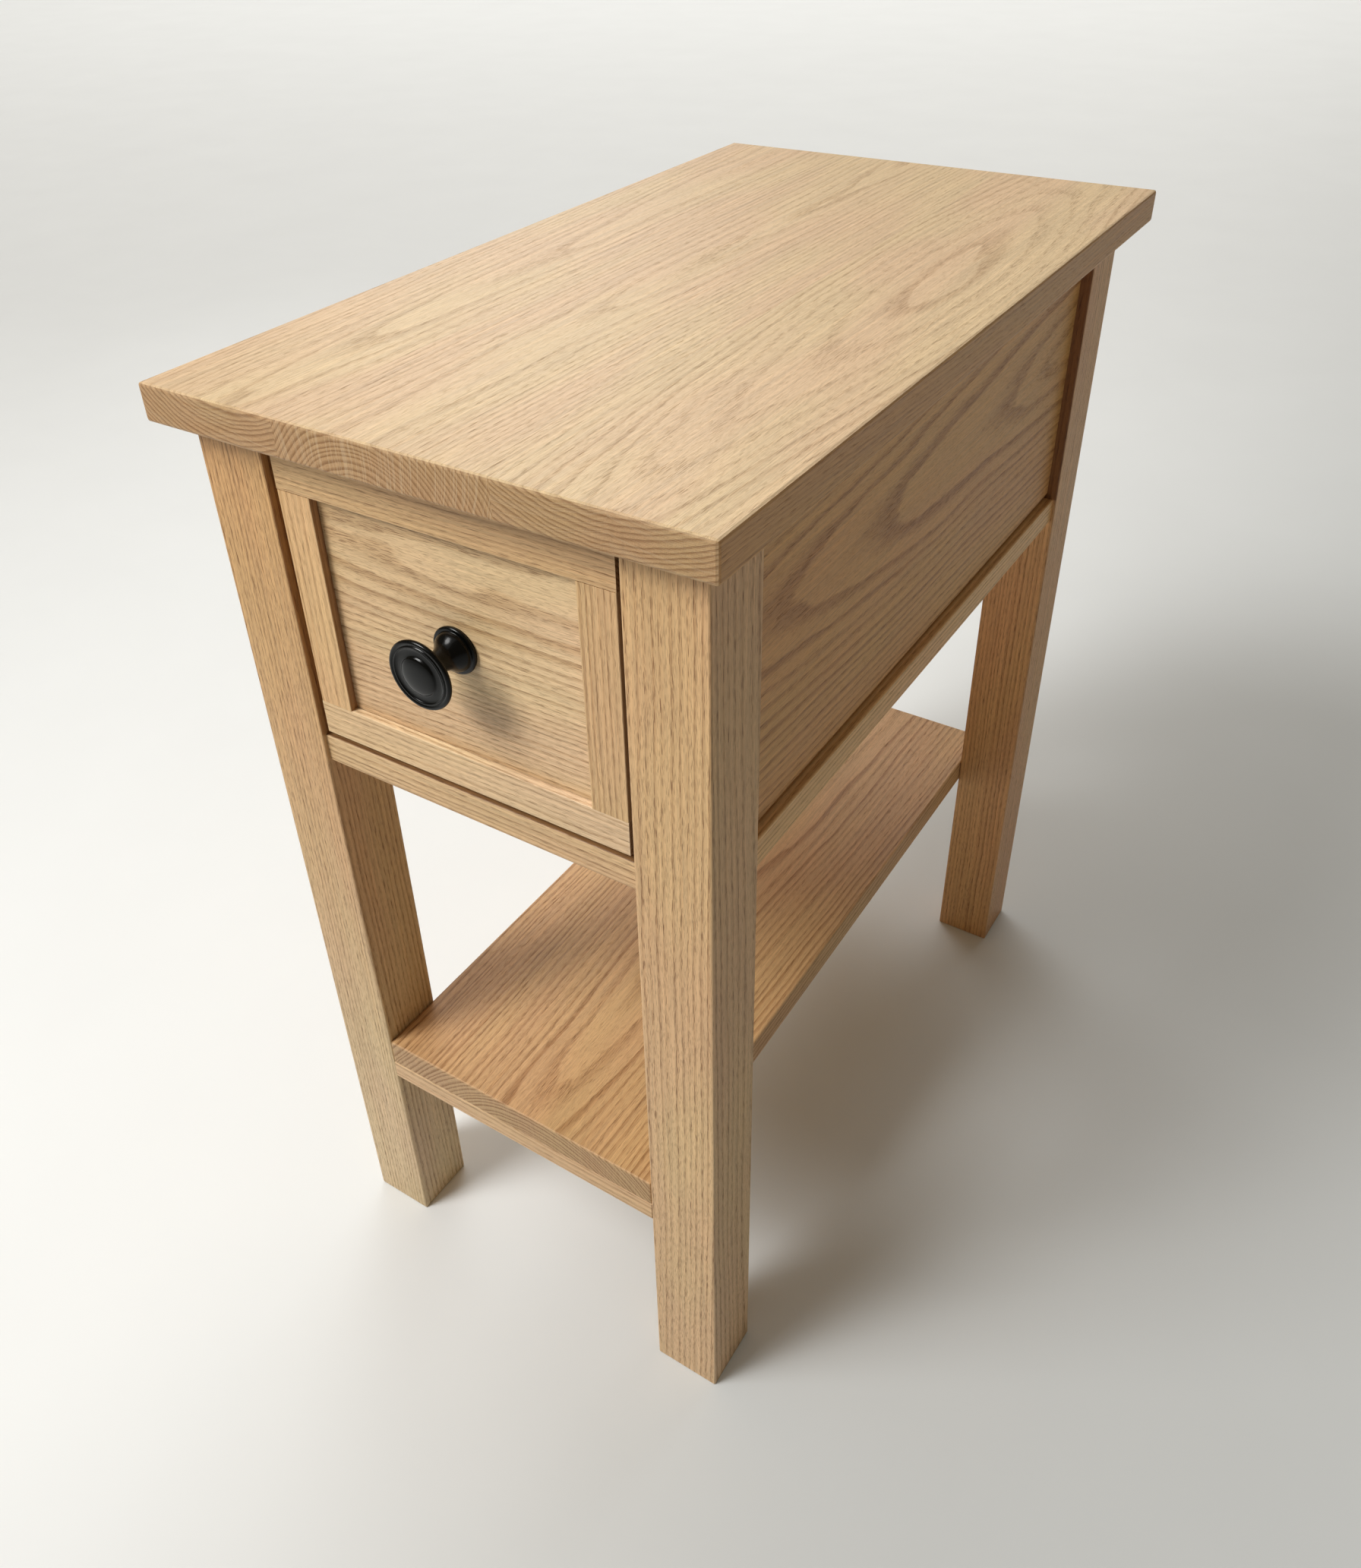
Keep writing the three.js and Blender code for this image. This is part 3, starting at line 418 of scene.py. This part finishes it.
def oak_material(name, low, high, grain, face, pith, **looks):
    """Oak for one board: its box, the axis of its grain, and the axis and side its face looks to.
    pith is the pith line's place across and out from the board's centre, in millimetres."""
    material, n, shader, coordinates = new_material(name)
    side = -1 if face[0] == "-" else 1
    out_axis = AXES.index(face[-1])
    along_axis = AXES.index(grain)
    across_axis = 3 - out_axis - along_axis
    order = (across_axis, along_axis, out_axis)
    signs = (1, 1, side)

    centre = (low + high) / 2
    from_centre = n.vector("SUBTRACT", coordinates["Object"], tuple(centre))
    millimetres = n.parts(n.scaled(from_centre, 1 / MM))
    normal = n.parts(coordinates["Normal"])
    half = (high - low) / 2 / MM

    group = material.node_tree.nodes.new("ShaderNodeGroup")
    group.node_tree = OAK
    for socket, values in (("Place", millimetres), ("Facing", normal)):
        own = n.joined(*[values[i] for i in order])
        n.feed(group.inputs[socket], n.vector("MULTIPLY", own, signs))
    group.inputs["Half Size"].default_value = [half[i] for i in order]
    group.inputs["Pith"].default_value = (pith[0], 0, pith[1])
    looks.setdefault("far_tint", looks.get("tint", NO_TINT))
    for key, value in looks.items():
        group.inputs[key.replace("_", " ").title()].default_value = value

    n.feed(shader.inputs["Base Color"], group.outputs["Color"])
    n.feed(shader.inputs["Roughness"], group.outputs["Roughness"])
    shader.inputs["Specular IOR Level"].default_value = OAK_SPECULAR
    add_bump(n, shader, group.outputs["Height"], *OAK_BUMP)
    return material


def dress(node, material):
    """Gives a CAD node its material."""
    mesh_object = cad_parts[node]
    mesh_object.data.materials.clear()
    mesh_object.data.materials.append(material)


def dress_board(node, grain, face, pith, box=None, **looks):
    low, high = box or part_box(node)
    dress(node, oak_material(f"oak_{node}", low, high, grain, face, pith, **looks))


# ------------------------------------------------------------------ boards
# Each board has its own tint, chosen for its colour under the lights below: partly the board's
# own tone, partly painted light and shade. A cheek's tint is painted shade for the deep shade of
# a narrow gap, which these soft lights leave too bright, and painted light on a ledge that they
# leave too dark.

# Painted sheen: the top is tinted paler and bluer than the wood, for the sheen of its finish. On
# the long edges the edge tint paints shade over that sheen.
TOP_PAINTED_SHEEN = (1.02, 1.09, 1.18, 1)
TOP_END_TINT = (0.67, 0.57, 0.46, 1)
TOP_EDGE_PAINTED_SHADE = (0.85, 0.65, 0.43, 1)


def dress_top():
    """Three glued boards. The lighter arrises, partly wear and partly a painted highlight, follow
    the whole top, not the glue lines.
    """
    left_low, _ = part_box("tabletop_left_board")
    _, right_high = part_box("tabletop_right_board")
    shared = {"box": (left_low, right_high), "ring_width": 2.4, "wander": 5, "pore_depth": 0.7,
              "tint": TOP_PAINTED_SHEEN, "end_tint": TOP_END_TINT}
    dress_board("tabletop_left_board", "y", "+z", (-103, 60), lean=(-0.03, 0, -0.0125),
                contrast=0.55, seed=1.0, cheek_side=-1.0, cheek_tint=TOP_EDGE_PAINTED_SHADE, **shared)
    dress_board("tabletop_middle_board", "y", "+z", (-20, -36), lean=(0.01, 0, 0.0145),
                contrast=0.5, seed=2.0, **shared)
    dress_board("tabletop_right_board", "y", "+z", (107, 92), bow=0.048, bow_centre=57,
                contrast=0.5, seed=3.0, cheek_side=1.0, cheek_tint=TOP_EDGE_PAINTED_SHADE, **shared)


# Painted shade on the legs' cheeks: the inner faces in the gaps beside the drawer front and in the
# reveals beside the side panels.
LEFT_GAP_PAINTED_SHADE = (0.80, 0.64, 0.50, 1)
RIGHT_GAP_PAINTED_SHADE = (0.26, 0.18, 0.13, 1)
REVEAL_PAINTED_SHADE = (0.40, 0.30, 0.22, 1)
# Each leg: the way it faces, its pith, its tints at the foot and the head, which are partly its
# own tone and partly painted light and shade, its cheek's side and its cheek's painted shade.
LEGS = {
    "front_left": ("-y", (70, 52), (0.96, 1.07, 1.17, 1), (0.90, 0.78, 0.62, 1),
                   1.0, LEFT_GAP_PAINTED_SHADE),
    "front_right": ("-y", (-64, -48), (1.0, 1.03, 1.06, 1), (1.0, 0.94, 0.87, 1),
                    -1.0, RIGHT_GAP_PAINTED_SHADE),
    "rear_left": ("-x", (52, 75), (1.0, 0.99, 0.97, 1), (0.97, 0.90, 0.84, 1),
                  -1.0, REVEAL_PAINTED_SHADE),
    "rear_right": ("+x", (-58, 60), (1.0, 0.84, 0.68, 1), (1.02, 0.86, 0.70, 1),
                   -1.0, REVEAL_PAINTED_SHADE),
}


def dress_legs():
    """Square legs, with painted shade on their cheeks, which are above the top of the front rail.
    """
    _, rail_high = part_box("front_rail")
    leg_low, leg_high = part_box("front_left_leg")
    cheek_start = (rail_high.z - (leg_low.z + leg_high.z) / 2) / MM
    for i, (name, look) in enumerate(LEGS.items()):
        face, pith, foot_tint, head_tint, cheek_side, cheek_tint = look
        dress_board(f"{name}_leg", "z", face, pith, lean=(0.008, 0, 0.004), ring_width=2.6,
                    wander=4, contrast=0.8, pore_depth=1.5, seed=5.0 + i,
                    cheek_side=cheek_side, cheek_start=cheek_start, cheek_tint=cheek_tint,
                    tint=foot_tint, far_tint=head_tint)


# Painted shade and light: the side panels are tinted darker and more orange, as shade, and the side
# rails' faces and ledges paler, as light.
SIDE_PANEL_PAINTED_SHADE = (0.98, 0.79, 0.51, 1)
SIDE_RAIL_PAINTED_LIGHT = (1.22, 1.11, 0.92, 1)
SIDE_RAIL_LEDGE_PAINTED_LIGHT = (1.07, 1.10, 1.17, 1)


def dress_case():
    """Side and back panels, and the rails round the case."""
    side = {"ring_width": 3.0, "wander": 5, "contrast": 0.95, "tint": SIDE_PANEL_PAINTED_SHADE}
    dress_board("right_side_panel", "y", "+x", (22, -110), lean=(0, 0, 0.027), seed=11.0, **side)
    dress_board("left_side_panel", "y", "-x", (-12, -95), lean=(0, 0, -0.024), seed=12.0, **side)
    dress_board("back_panel", "x", "+y", (10, -90), lean=(0, 0, 0.03), ring_width=3.0, wander=6,
                seed=13.0)
    for i, (name, face) in enumerate({"right_side_rail": "+x", "left_side_rail": "-x"}.items()):
        dress_board(name, "y", face, (60, -45), ring_width=2.6, wander=3, seed=15.0 + i,
                    tint=SIDE_RAIL_PAINTED_LIGHT, cheek_side=1.0, cheek_tint=SIDE_RAIL_LEDGE_PAINTED_LIGHT)
    dress_board("back_rail", "x", "+y", (60, -45), ring_width=2.6, wander=3, seed=17.0)
    # Painted shade on the front rail's top face, in the gap under the drawer front.
    dress_board("front_rail", "x", "-y", (70, -40), ring_width=2.4, wander=3, seed=18.0,
                cheek_side=1.0, cheek_tint=REVEAL_PAINTED_SHADE)


# Painted light and shade on the shelf, which lies in the case's shade: darker at the front, a
# little lighter at the rear.
SHELF_FRONT_PAINTED_SHADE = (0.92, 0.84, 0.74, 1)
SHELF_REAR_PAINTED_LIGHT = (1.05, 0.98, 0.90, 1)
SHELF_END_TINT = (0.80, 0.84, 0.92, 1)


def dress_shelf():
    dress_board("shelf_board", "y", "+z", (14, -75), lean=(0, 0, 0.018), ring_width=2.8, wander=7,
                seed=21.0, tint=SHELF_FRONT_PAINTED_SHADE, far_tint=SHELF_REAR_PAINTED_LIGHT,
                end_tint=SHELF_END_TINT)
    for i, (name, face) in enumerate({"shelf_front_rail": "-y", "shelf_rear_rail": "+y"}.items()):
        dress_board(name, "x", face, (55, -60), ring_width=2.4, wander=3, seed=23.0 + i)


# Painted shade on the left stile's inner edge, which is darker than its face, and painted light
# on the ledge under the panel, which is paler.
STILE_EDGE_PAINTED_SHADE = (0.55, 0.45, 0.38, 1)
LEDGE_PAINTED_LIGHT = (1.25, 1.34, 1.50, 1)


def dress_drawer_front():
    """A panel in a frame of two rails and two stiles."""
    # Painted light: the panel and the bottom rail turn paler and bluer towards their right ends.
    dress_board("drawer_front_panel", "x", "-y", (48, -70), lean=(0.02, 0, 0.012), ring_width=2.6,
                wander=6, contrast=0.95, pore_depth=1.15, seed=31.0,
                tint=(1.01, 1.04, 1.08, 1), far_tint=(1.10, 1.17, 1.28, 1))
    rail = {"ring_width": 2.2, "wander": 3, "contrast": 0.8}
    dress_board("drawer_front_top_rail", "x", "-y", (60, -50), seed=32.0,
                tint=(0.97, 0.93, 0.88, 1), **rail)
    dress_board("drawer_front_bottom_rail", "x", "-y", (-60, -60), seed=33.0,
                tint=(1.07, 1.12, 1.15, 1), far_tint=(1.10, 1.19, 1.32, 1),
                cheek_side=1.0, cheek_tint=LEDGE_PAINTED_LIGHT, **rail)
    stile = {"ring_width": 2.4, "wander": 3}
    dress_board("drawer_front_left_stile", "z", "-y", (55, -60), seed=34.0,
                tint=(1.03, 0.98, 0.89, 1), cheek_side=1.0, cheek_tint=STILE_EDGE_PAINTED_SHADE, **stile)
    dress_board("drawer_front_right_stile", "z", "-y", (-60, 55), seed=35.0,
                tint=(0.97, 0.94, 0.88, 1), **stile)


HIDDEN_TINT = (0.95, 0.90, 0.84, 1)


def dress_hidden_timber():
    """Unfinished oak inside: stretcher, runners, guides, kickers and the drawer box."""
    plain = {"ring_width": 2.6, "wander": 5, "tint": HIDDEN_TINT}
    dress_board("front_top_stretcher", "x", "-y", (60, -50), seed=41.0, **plain)
    for i, side in enumerate(("left", "right")):
        for j, part in enumerate(("runner", "guide_strip", "kicker")):
            dress_board(f"{side}_{part}", "y", "+z", (50, 60), seed=42.0 + 3 * i + j, **plain)
        dress_board(f"drawer_{side}_side", "y", "+x", (20, 70), lean=(0, 0, 0.02),
                    seed=50.0 + i, **plain)
    dress_board("drawer_box_front", "x", "+y", (10, 80), seed=52.0, **plain)
    dress_board("drawer_back", "x", "-y", (-10, 80), seed=53.0, **plain)
    dress_board("drawer_stop_block", "x", "+y", (40, 60), seed=54.0, **plain)


# ------------------------------------------------------------------ other materials
# Frequencies are per millimetre, as for the oak.

PLY_FACE = srgb(214, 184, 142)
PLY_DARK = srgb(180, 142, 98)
PLY_STREAKS = (0.012, 0.22, 0.3)
PLY_FIBRES = (0.05, 2.4, 2.0)
PLY_LAYERS = 0.42
PLY_GLUE_LINE = (0.45, 0.55)
PLY_EDGE_FACING = (0.4, 0.6)
PLY_STREAK_SHARE = 0.6
PLY_FIBRE_SHARE = 0.3
PLY_ROUGHNESS = (0.2, 0.5)


def plywood_material(low):
    """Birch face veneer with fine streaks, and layers at its edge, counted up from low."""
    material, n, shader, coordinates = new_material("birch_plywood")
    from_low = n.vector("SUBTRACT", coordinates["Object"], tuple(low))
    place = n.scaled(from_low, 1 / MM)
    streak = n.noise(place, PLY_STREAKS, 3.0)
    fibre = n.noise(place, PLY_FIBRES, 2.0)
    _, _, height = n.parts(place)
    layer = n.calc("FRACT", n.calc("MULTIPLY", height, PLY_LAYERS))
    _, _, up = n.parts(coordinates["Normal"])
    edge = n.ramp(n.calc("ABSOLUTE", up), *PLY_EDGE_FACING, 1.0, 0.0)
    shade = n.spread(fibre, PLY_FIBRE_SHARE, n.calc("MULTIPLY", streak, PLY_STREAK_SHARE))
    layered = n.calc("MULTIPLY", edge, n.ramp(layer, *PLY_GLUE_LINE))
    colour = n.mix(n.calc("MAXIMUM", shade, layered), PLY_FACE, PLY_DARK)
    n.feed(shader.inputs["Base Color"], colour)
    n.feed(shader.inputs["Roughness"], n.spread(fibre, *PLY_ROUGHNESS))
    return material


KNOB_BLACK = srgb(2, 3, 3)
KNOB_RUBBED = srgb(6, 7, 7)
KNOB_PEEL = (0.9, 0.9, 0.9)
KNOB_SMUDGES = (0.16, 0.16, 0.16)
KNOB_ROUGHNESS = (0.06, 0.15)
KNOB_SPECULAR = 0.22
KNOB_BUMP = (0.15, 0.04)                   # strength, and depth in millimetres


def knob_material():
    """Satin black paint over turned metal, a little orange-peeled and smudged."""
    material, n, shader, coordinates = new_material("satin_black_paint")
    place = n.scaled(coordinates["Object"], 1 / MM)
    peel = n.noise(place, KNOB_PEEL, 2.0)
    smudge = n.noise(place, KNOB_SMUDGES, 2.0)
    n.feed(shader.inputs["Base Color"], n.mix(smudge, KNOB_BLACK, KNOB_RUBBED))
    n.feed(shader.inputs["Roughness"], n.spread(smudge, *KNOB_ROUGHNESS))
    shader.inputs["Specular IOR Level"].default_value = KNOB_SPECULAR
    add_bump(n, shader, peel, *KNOB_BUMP)
    return material


ZINC_DARK = srgb(150, 146, 134)
ZINC_PALE = srgb(196, 190, 172)
ZINC_MOTTLE = (1.4, 1.4, 1.4)
ZINC_ROUGHNESS = (0.25, 0.22)


def screw_material():
    """Zinc-plated steel, faintly mottled."""
    material, n, shader, coordinates = new_material("zinc_plated_steel")
    mottle = n.noise(n.scaled(coordinates["Object"], 1 / MM), ZINC_MOTTLE, 3.0)
    n.feed(shader.inputs["Base Color"], n.mix(mottle, ZINC_DARK, ZINC_PALE))
    n.feed(shader.inputs["Roughness"], n.spread(mottle, *ZINC_ROUGHNESS))
    shader.inputs["Metallic"].default_value = 1.0
    return material


# ------------------------------------------------------------------ knob
# The knob's half-section, in millimetres: radius, and distance out from the panel. An arc is
# its centre, its radius, its first and last angle in degrees, and its number of steps.

KNOB_SIDES = 128
FOOT = [(0, 0.0), (12.0, 0.0)]
FOOT_BEAD = ((11.3, 1.4), 1.2, -70, 80, 8)
FOOT_STEP = [(11.3, 2.60), (10.7, 2.45), (10.4, 2.75)]
BELL = [(10.3, 3.6), (10.0, 4.3), (9.3, 5.4), (8.3, 6.6), (7.2, 7.9), (6.4, 9.3)]
NECK = [(5.8, 11.2), (5.5, 13.2), (5.5, 15.2), (6.0, 17.0), (7.2, 18.9), (9.2, 20.6)]
UNDERSIDE = [(11.6, 21.9), (14.2, 22.7), (16.4, 23.4)]
RIM = ((16.6, 25.3), 1.35, -55, 95, 9)
RIM_STEP = [(15.8, 26.45), (15.5, 26.15)]
INNER_BEAD = ((14.65, 26.0), 0.7, 20, 150, 5)
DISH = [(13.8, 26.15), (12.4, 26.05), (10.9, 26.2), (10.4, 26.3)]
DOME_BASE = 26.5
DOME_RADIUS = 9.9
DOME_RISE = 1.95
DOME_STEPS = 9


def arc(centre, radius, start, end, steps):
    turns = [math.radians(start + (end - start) * i / steps) for i in range(steps + 1)]
    return [(centre[0] + radius * math.cos(turn), centre[1] + radius * math.sin(turn))
            for turn in turns]


def knob_outline():
    turns = [i / DOME_STEPS * math.pi / 2 for i in range(DOME_STEPS + 1)]
    dome = [(DOME_RADIUS * math.cos(turn), DOME_BASE + DOME_RISE * math.sin(turn))
            for turn in turns]
    return [*FOOT, *arc(*FOOT_BEAD), *FOOT_STEP, *BELL, *NECK, *UNDERSIDE, *arc(*RIM), *RIM_STEP,
            *arc(*INNER_BEAD), *DISH, *dome]


def turned_piece(name, outline, sides, place):
    """A smooth surface of revolution. place turns a radius, a turn and a rise into a point."""
    turns = [2 * math.pi * i / sides for i in range(sides)]
    vertices = [place(radius, turn, rise) for radius, rise in outline for turn in turns]
    faces = []
    for row in range(len(outline) - 1):
        for i in range(sides):
            first = row * sides + i
            second = row * sides + (i + 1) % sides
            faces.append((first, second, second + sides, first + sides))
    mesh = bpy.data.meshes.new(name)
    mesh.from_pydata(vertices, [], faces)
    mesh.polygons.foreach_set("use_smooth", [True] * len(faces))
    piece = bpy.data.objects.new(name, mesh)
    bpy.context.scene.collection.objects.link(piece)
    weld = piece.modifiers.new("weld", "WELD")
    weld.merge_threshold = 0.001 * MM
    return piece


def build_knob():
    """The turned knob, smooth enough for its fine beads."""
    low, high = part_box("drawer_knob")
    centre = (low + high) / 2

    def place(radius, turn, rise):
        x = centre.x + radius * MM * math.cos(turn)
        z = centre.z + radius * MM * math.sin(turn)
        return (x, high.y - rise * MM, z)

    knob = turned_piece("knob_turning", knob_outline(), KNOB_SIDES, place)
    knob.data.materials.append(knob_material())
    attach(knob, "drawer")
    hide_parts("drawer_knob")


# ------------------------------------------------------------------ stage, light and camera

FLOOR_HALF = 60.0
FLOOR_CORNERS = [(-1, -1), (1, -1), (1, 1), (-1, 1)]
PAPER_NEAR = srgb(236, 239, 240)
PAPER_PAINTED_SHADE = srgb(206, 210, 211)
# Painted shade: the paper darkens with the slope of the line to it from a point above the
# floor's centre, for light falling off towards the right.
PAPER_SHADE_CENTRE = (0, 0, 0.9)
PAPER_SHADE_SLOPES = (-0.25, 0.45)
PAPER_MOTTLE = (5.0, 5.0, 5.0)             # per metre
PAPER_LIGHT = (0.05, 0.975)


def build_floor():
    """A wide floor of pale paper, with painted shade that darkens it towards the right."""
    corners = [(x * FLOOR_HALF, y * FLOOR_HALF, 0) for x, y in FLOOR_CORNERS]
    mesh = bpy.data.meshes.new("floor")
    mesh.from_pydata(corners, [], [(0, 1, 2, 3)])
    floor = bpy.data.objects.new("floor", mesh)
    bpy.context.scene.collection.objects.link(floor)
    material, n, shader, coordinates = new_material("pale_paper")
    line = n.vector("SUBTRACT", coordinates["Object"], PAPER_SHADE_CENTRE)
    across, _, _ = n.parts(n.vector("NORMALIZE", line))
    mottle = n.noise(coordinates["Object"], PAPER_MOTTLE, 3.0)
    # Painted shade: darker towards the right.
    paper = n.mix(n.ramp(across, *PAPER_SHADE_SLOPES), PAPER_NEAR, PAPER_PAINTED_SHADE)
    n.feed(shader.inputs["Base Color"], n.scaled(paper, n.spread(mottle, *PAPER_LIGHT)))
    shader.inputs["Roughness"].default_value = 0.9
    shader.inputs["Specular IOR Level"].default_value = 0.1
    mesh.materials.append(material)


# Distant lights: the direction that each comes from, its width in degrees and its strength.
DISTANT_LIGHTS = {
    "front_light": (Vector((-0.40, -0.68, 0.68)), 20, 1.02),
    "overhead_light": (Vector((-0.30, -0.26, 0.90)), 56, 0.34),
}
# Softboxes: where each stands, the point that it looks at, its size and its power.
SOFTBOXES = {
    "key_softbox": (Vector((-0.70, -1.15, 1.65)), Vector((0, 0, 0.4)), 0.75, 17.5),
    "rear_softbox": (Vector((-1.10, 1.10, 1.35)), Vector((0, -0.1, 0.6)), 0.9, 4),
    "backdrop_softbox": (Vector((-4.5, 8.0, 6.0)), Vector((-4.5, 8.0, 0)), 14.0, 560),
}
LAMP_COLOUR = (1.0, 0.99, 0.97)
SKY_COLOUR = (1.0, 0.82, 0.58, 1)
SKY_STRENGTH = 0.16
BACKDROP_COLOUR = (0.70, 0.71, 0.71, 1)    # what the camera sees above the floor


def place_light(name, kind, place, target):
    lamp = bpy.data.lights.new(name, kind)
    lamp.color = LAMP_COLOUR
    light = bpy.data.objects.new(name, lamp)
    light.location = place
    light.rotation_euler = (target - place).to_track_quat("-Z", "Y").to_euler()
    light.visible_camera = False
    bpy.context.scene.collection.objects.link(light)
    return lamp


def build_world():
    """A warm sky that lights the scene, and a plain backdrop that the camera sees instead."""
    world = bpy.data.worlds.new("studio")
    world.use_nodes = True
    tree = world.node_tree
    sky = tree.nodes["Background"]
    sky.inputs["Color"].default_value = SKY_COLOUR
    sky.inputs["Strength"].default_value = SKY_STRENGTH
    backdrop = tree.nodes.new("ShaderNodeBackground")
    backdrop.inputs["Color"].default_value = BACKDROP_COLOUR
    seen = tree.nodes.new("ShaderNodeLightPath").outputs["Is Camera Ray"]
    choice = tree.nodes.new("ShaderNodeMixShader")
    tree.links.new(seen, choice.inputs[0])
    tree.links.new(sky.outputs[0], choice.inputs[1])
    tree.links.new(backdrop.outputs[0], choice.inputs[2])
    tree.links.new(choice.outputs[0], tree.nodes["World Output"].inputs["Surface"])
    bpy.context.scene.world = world


def light_scene():
    for name, (direction, width, strength) in DISTANT_LIGHTS.items():
        lamp = place_light(name, "SUN", direction * 2, Vector())
        lamp.angle = math.radians(width)
        lamp.energy = strength
    for name, (place, target, size, power) in SOFTBOXES.items():
        lamp = place_light(name, "AREA", place, target)
        lamp.shape = "DISK"
        lamp.size = size
        lamp.energy = power
    build_world()


CAMERA_PLACE = Vector((0.3600, -0.6139, 0.8240))
CAMERA_TURN = (54.52, 1.473, 32.659)       # degrees, as an XYZ Euler turn
CAMERA_LENS = 29.84                        # millimetres, as is the sensor's width
CAMERA_SENSOR = 36.0
CAMERA_SHIFT = (0.0106, -0.0447)
CAMERA_CLIP = (0.01, 100.0)


def place_camera():
    camera_data = bpy.data.cameras.new("camera")
    camera_data.lens = CAMERA_LENS
    camera_data.sensor_width = CAMERA_SENSOR
    camera_data.shift_x, camera_data.shift_y = CAMERA_SHIFT
    camera_data.clip_start, camera_data.clip_end = CAMERA_CLIP
    camera = bpy.data.objects.new("camera", camera_data)
    camera.location = CAMERA_PLACE
    camera.rotation_euler = [math.radians(angle) for angle in CAMERA_TURN]
    bpy.context.scene.collection.objects.link(camera)
    bpy.context.scene.camera = camera


# ------------------------------------------------------------------ assembly

dress_top()
dress_legs()
dress_case()
dress_shelf()
dress_drawer_front()
dress_hidden_timber()
bottom_low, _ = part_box("drawer_bottom")
dress("drawer_bottom", plywood_material(bottom_low))
steel = screw_material()
for node_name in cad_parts:
    if "screw" in node_name:
        dress(node_name, steel)
build_knob()
build_floor()
light_scene()
place_camera()
bpy.context.scene.view_settings.view_transform = "Standard"
